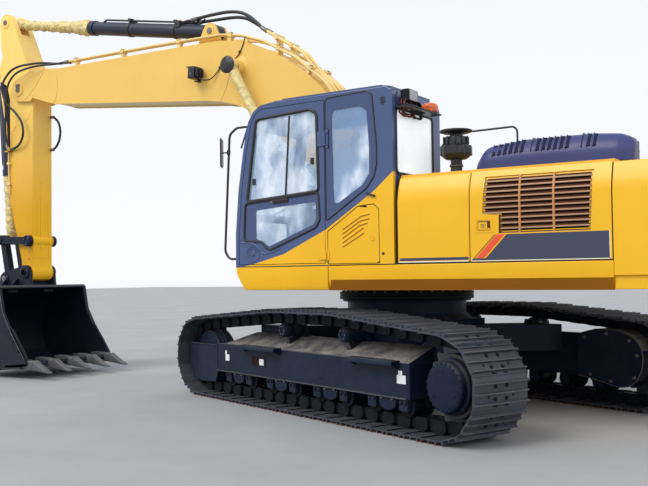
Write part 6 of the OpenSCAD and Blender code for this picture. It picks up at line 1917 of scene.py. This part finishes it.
def bucket_trim():
    W = .750
    b = Bag()
    # cutting edge with bevel, side cutters, side plate edge bands
    b.add(prism([(5.345, .198), (5.420, .172), (5.800, .146), (5.800, .178), (5.44, .208), (5.36, .236)], -W, W), "bucket")
    for s in (-1, 1):
        y0, y1 = (W, W + .028) if s > 0 else (-W - .028, -W)
        # thick plate along the side's front edge
        e = mm([(5898, 1248), (5828, 900), (5658, 630), (5370, 262), (5345, 205), (5430, 230), (5480, 290), (5735, 600), (5905, 880), (5985, 1220), (5970, 1248)])
        b.add(plate(e, [], *sorted((s * (W - .002), s * (W + .022)))), "bucket")
        # side cutter blade, bolted, standing forward of the edge
        c = mm([(5700, 700), (5635, 655), (5455, 430), (5345, 275), (5395, 255), (5500, 330), (5700, 590), (5780, 720)])
        b.add(plate(c, [], *sorted((s * (W - .030), s * (W - .002)))), "bucket")
        for x, z in ((5.70, .65), (5.60, .51), (5.50, .385)):
            b.add(hexbolt((x, s * (W + .022), z), (0, s, 0), .020, .014), "bucket")
        # bottom wear plate at the heel
        hp = mm([(6420, 88), (6560, 110), (6760, 260), (6850, 480), (6850, 640), (6700, 640), (6690, 480), (6620, 320), (6440, 210)])
        b.add(plate(hp, [], *sorted((s * (W - .002), s * (W + .014)))), "bucket")
    # wear strips round the back
    arc = mm([(5800, 128), (6330, 72), (6560, 110), (6760, 260), (6850, 480), (6850, 720), (6760, 950)])
    for y in (-.60, -.20, .20, .60):
        out = []
        for i, (x, z) in enumerate(arc):
            a = arc[max(0, i - 1)]
            c = arc[min(len(arc) - 1, i + 1)]
            t = Vector((c[0] - a[0], c[1] - a[1])).normalized()
            out.append(((x, z), (x + t.y * .014, z - t.x * .014)))
        poly = [o[1] for o in out] + [o[0] for o in out][::-1]
        b.add(plate(poly, [], y - .045, y + .045), "bucket")
    # gussets between ears and shell
    for s in (-1, 1):
        for x in (6.18, 6.42):
            b.add(box((x, min(s * .232, s * .40), 1.16), (x + .022, max(s * .232, s * .40), 1.225)), "bucket")
            b.add(prism_x([(s * .232, 1.20), (s * .232, 1.36), (s * .246, 1.36), (s * .40, 1.215), (s * .40, 1.20)], x, x + .022), "bucket")
    b.make("bucket_plates", "bucket", bevel=.003, seg=2)
    b = Bag()
    # bright edges, partly wear and partly painted highlight: upper lip, side plate edges, cutting edge
    b.add(box((5.893, -W, 1.252), (5.990, W, 1.2655)), "grey_edge")
    b.add(prism([(5.892, 1.238), (5.901, 1.238), (5.901, 1.2655), (5.892, 1.2655)], -W, W), "grey_edge")
    for s in (-1, 1):
        e = [(5.8955, s * (W + .020), 1.240), (5.8265, s * (W + .020), .901), (5.6560, s * (W + .020), .632), (5.3680, s * (W + .020), .264)]
        b.add(tube(rounded_path([Vector(p) for p in e], .2, 5), .0055, 6), "grey_edge")
    b.make("bucket_edges", "bucket", bevel=.002, seg=1)
    # ears: pin ends and bolts
    b = Bag()
    for s in (-1, 1):
        b.add(lathe(pt(TIP, s * .230), (0, s, 0), [(.100, 0), (.100, .014), (.094, .018), (.046, .018)], 36), "bucket")
        b.add(lathe(pt(TIP, s * .225), (0, s, 0), [(.045, 0), (.045, .034), (.040, .037), (0, .037)], 28), "steel")
        b.add(lathe(pt(HEEL, s * .228), (0, s, 0), [(.090, 0), (.090, .012), (.084, .014), (.046, .014)], 36), "bucket")
        b.add(lathe(pt(HEEL, s * .222), (0, s, 0), [(.042, 0), (.042, .030), (.037, .034), (0, .034)], 28), "steel")
        for p in (TIP, HEEL):
            for k in range(2):
                b.add(hexbolt((p[0] + .062 * (1 - 2 * k), s * .246 - (s * .004 if p is HEEL else 0), p[1] + .03), (0, s, 0), .011, .008), "steel")
    b.make("bucket_pins", "bucket", bevel=.001, seg=1)
    # teeth: forged points on adapters that straddle the lip
    b = Bag()
    for k in range(-2, 3):
        y = k * .340

        def loft(st, mat, n=12):
            v, f = [], []
            for x, t, bo, hw in st:
                zc, hh = (t + bo) / 2, (t - bo) / 2
                for j in range(n):
                    a = 2 * math.pi * (j + .5) / n
                    cx, cz = math.cos(a), math.sin(a)
                    ex = abs(cx) ** .35 * (1 if cx > 0 else -1)
                    ez = abs(cz) ** .35 * (1 if cz > 0 else -1)
                    v.append((x, y + ex * hw, zc + ez * hh))
            for i in range(len(st) - 1):
                for j in range(n):
                    f.append((i * n + j, i * n + (j + 1) % n, (i + 1) * n + (j + 1) % n, (i + 1) * n + j))
            f += [tuple(range(n))[::-1], tuple(range((len(st) - 1) * n, len(st) * n))]
            b.add((v, f), mat)
        loft([(5.640, .262, .214, .040), (5.560, .272, .190, .047), (5.460, .270, .150, .050), (5.340, .262, .132, .052), (5.272, .254, .134, .052), (5.262, .246, .140, .047)], "tooth")
        loft([(5.520, .172, .128, .042), (5.700, .150, .122, .034), (5.760, .146, .132, .028)], "tooth")
        loft([(5.285, .246, .140, .042), (5.262, .262, .128, .050), (5.235, .262, .125, .050), (5.180, .228, .122, .047), (5.110, .190, .114, .044), (5.030, .150, .104, .040), (4.965, .120, .098, .037), (4.952, .112, .099, .034)], "tooth")
        for s in (-1, 1):
            # bolt heads in the bright edge colour: partly wear, partly painted highlight
            b.add(lathe((5.245, y + s * .049, .196), (0, s, 0), [(.016, 0), (.015, .003), (.008, .004), (0, .003)], 12), "grey_edge")
    b.make("teeth_forged", "bucket", bevel=.002, seg=2, angle=40, replaces="bucket_teeth")


bucket_trim()

# ------------------------------------------------------------------ links
rounded("idler_links", "bucket", .006, "idler_links", 2)
rounded("bucket_link", "bucket", .008, "bucket_link", 2)


def link_trim():
    b = Bag()
    for s in (-1, 1):
        b.add(lathe(pt(ELBOW, s * .232), (0, s, 0), [(.066, 0), (.066, .006), (.060, .010), (.030, .011), (.026, .006), (0, .006)], 32), "bucket")
        for k in range(3):
            a = k * 2 * math.pi / 3
            b.add(hexbolt(pt((ELBOW[0] + .045 * math.cos(a), ELBOW[1] + .045 * math.sin(a)), s * .242), (0, s, 0), .009, .006), "steel")
    b.make("idler_link_ends", "idler_links", bevel=.001, seg=1)


link_trim()

# ------------------------------------------------------------------ cylinders
rounded("boom_cylinders", "barrel", .004, "boom_cylinders", 2)
rounded("arm_cylinder", "barrel", .004, "arm_cylinder", 2)
rounded("bucket_cylinder", "barrel", .004, "bucket_cylinder", 2)


def film_tube(p, q, a, c, prof, amp=.006, n=32, step=.011, twist=22, seed=0.0, y=0.0):
    """Crumpled film wound round a rod from distance a to c; prof is its radius along the way."""
    P, Q = pt(p, y), pt(q, y)
    d, u, w = frame_of(Q - P)
    m = max(6, int((c - a) / step))
    v, f = [], []
    for i in range(m + 1):
        s = a + (c - a) * i / m
        r0 = interp(prof, s)
        for j in range(n):
            t = 2 * math.pi * j / n
            fold = abs(mn.noise(Vector((math.cos(t + s * twist) * 1.6 + seed, math.sin(t + s * twist) * 1.6, s * 6))))
            fine = mn.noise(Vector((math.cos(t) * 4 + seed, math.sin(t) * 4, s * 30)))
            r = r0 + amp * (1.9 * fold + .8 * fine) + amp * .5 * math.sin(t * 2 + s * twist * 1.7)
            v.append(P + d * s + (u * math.cos(t) + w * math.sin(t)) * max(r, .01))
    for i in range(m):
        for j in range(n):
            f.append((i * n + j, i * n + (j + 1) % n, (i + 1) * n + (j + 1) % n, (i + 1) * n + j))
    f += [tuple(range(n))[::-1], tuple(range(m * n, (m + 1) * n))]
    return v, f


def dist(p, q):
    return math.hypot(q[0] - p[0], q[1] - p[1])


def cylinders():
    # boom cylinders: clamps, pipes, head bolts; rods under smooth film
    b, r = Bag(), Bag()
    for s in (-1, 1):
        P, Q = pt(LIFT_LO, s * .385), pt(LIFT_HI, s * .385)
        d = (Q - P).normalized()
        L = (Q - P).length
        u = Vector((0, s, 0))
        w = d.cross(u)
        for a in (.42, .95):
            b.add(lathe(P + d * a, d, [(.086, 0), (.094, .002), (.094, .036), (.086, .038)], 36), "black")
        for k in (-1, 1):
            o = u * .070 * k + w * .085 * (1 if w.x < 0 else -1)
            b.add(tube([P + d * .22 + o, P + d * 1.30 + o, P + d * 1.36 + o * .85], .012, 8), "black")
        ring_bolts(b, P + d * 1.5, d, .082, 10, .009, .010, "steel")
        b.add(lathe(P + d * 1.498, d, [(.070, 0), (.066, .016), (.052, .018)], 32), "black")
        r.add(cyl(P + d * .84, P + d * (L - .07), .0465, 28), "chrome")
        prof = [(1.53, .050), (1.58, .054), (2.2, .055), (2.60, .056), (2.70, .062), (2.76, .060)]
        r.add(film_tube(LIFT_LO, LIFT_HI, 1.53, 2.755, prof, .0030, seed=s * 2.0, y=s * .385), "wrap")
        r.add(lathe(pt(LIFT_HI, s * .385 - .054), (0, 1, 0), [(.050, 0), (.072, 0), (.078, .006), (.078, .102), (.072, .108), (.050, .108)], 36), "wrap")
        r.add(lathe(pt(LIFT_HI, s * .329), (0, s, 0), [(.048, 0), (.048, .128)], 28), "steel")
        # black cap on the pin's outer end
        r.add(lathe(pt(LIFT_HI, s * .441), (0, s, 0), [(.100, 0), (.104, .003), (.104, .010), (.098, .014), (.060, .015), (.054, .018), (0, .018)], 40), "black")
        ring_bolts(r, pt(LIFT_HI, s * .455), (0, s, 0), .080, 6, .009, .006, "black")
    b.make("boom_cylinder_trim", "boom_cylinders", bevel=.001, seg=1)
    r.make("boom_rods_wrapped", "boom_rods", replaces="boom_rods", slot="cream_wrap", angle=40)
    # arm cylinder
    b, r = Bag(), Bag()
    P, Q = pt(CROWD_LO, 0), pt(TAIL, 0)
    d = (Q - P).normalized()
    L = (Q - P).length
    u = Vector((0, 1, 0))
    w = d.cross(u)
    w = w if w.z > 0 else -w
    for a in (.63, 1.46):
        b.add(lathe(P + d * a, d, [(.093, 0), (.101, .002), (.101, .050), (.093, .052)], 40), "black")
        for k in (-1, 1):
            b.add(box((-.028, -.030, -.012), (.028, .030, .030)), "black", Matrix.Translation(P + d * (a + .026) + w * .108 + u * .035 * k) @ Matrix.Rotation(-math.atan2(d.z, d.x), 4, "Y"))
        b.add(hexbolt(P + d * (a + .026) + w * .136, w, .011, .008), "steel")
    for k, st in ((.035, .30), (-.035, .30)):
        b.add(tube(rounded_path([P + d * (st - .06) + w * .118 + u * k + Vector((-.02, 0, .05)), P + d * st + w * .112 + u * k, P + d * (1.95 if k > 0 else .64) + w * .112 + u * k, P + d * (2.00 if k > 0 else .69) + w * .085 + u * k], .03, 4), .0135, 10), "black")
    ring_bolts(b, P + d * 2.26, d, .088, 12, .010, .010, "steel")
    b.add(lathe(P + d * 2.258, d, [(.076, 0), (.072, .018), (.056, .020)], 36), "black")
    # base eye wrapped in film
    b.add(film_tube(CROWD_LO, TAIL, -.070, .150, [(-.07, .030), (-.05, .060), (0, .083), (.08, .080), (.15, .072)], .007, n=28, step=.012, twist=9, seed=5.5), "wrap")
    b.make("arm_cylinder_trim", "arm_cylinder", bevel=.001, seg=1)
    r.add(cyl(P + d * 1.61, P + d * (L - .08), .0505, 28), "chrome")
    prof = [(2.275, .088), (2.33, .104), (2.45, .098), (2.56, .082), (2.70, .074), (2.86, .078), (3.0, .066), (3.3, .060), (3.6, .064), (3.80, .060), (3.875, .056)]
    r.add(film_tube(CROWD_LO, TAIL, 2.275, L - .060, prof, .0105, n=40, step=.009, twist=20, seed=1.3), "wrap")
    r.add(lathe(pt(TAIL, -.058), u, [(.040, 0), (.072, 0), (.078, .006), (.078, .110), (.072, .116), (.040, .116)], 36), "wrap")
    r.make("arm_rod_wrapped", "arm_rod", replaces="arm_rod", slot="cream_wrap", angle=50)
    # bucket cylinder
    b, r = Bag(), Bag()
    P, Q = pt(CURL_HI, 0), pt(ELBOW, 0)
    d = (Q - P).normalized()
    L = (Q - P).length
    for a in (.45, 1.05):
        b.add(lathe(P + d * a, d, [(.079, 0), (.086, .002), (.086, .040), (.079, .042)], 36), "black")
    w = d.cross(u)
    w = w if w.x > 0 else -w
    for k in (-.03, .03):
        b.add(tube([P + d * .20 + w * .096 + u * k, P + d * 1.30 + w * .096 + u * k, P + d * 1.35 + w * .075 + u * k], .012, 8), "black")
    ring_bolts(b, P + d * 1.5, d, .076, 10, .009, .010, "steel")
    b.make("bucket_cylinder_trim", "bucket_cylinder", bevel=.001, seg=1)
    r.add(cyl(P + d * .71, P + d * (L - .06), .0425, 28), "chrome")
    prof = [(1.515, .070), (1.58, .078), (1.80, .072), (2.1, .070), (2.30, .074), (2.40, .066), (2.43, .058)]
    r.add(film_tube(CURL_HI, ELBOW, 1.515, L - .045, prof, .0105, n=36, step=.009, twist=26, seed=8.1), "wrap")
    r.add(lathe(pt(ELBOW, -.0585), u, [(.0386, 0), (.060, 0), (.066, .006), (.066, .111), (.060, .117), (.0386, .117)], 36), "wrap")
    r.make("bucket_rod_wrapped", "bucket_rod", replaces="bucket_rod", slot="cream_wrap", angle=50)


cylinders()
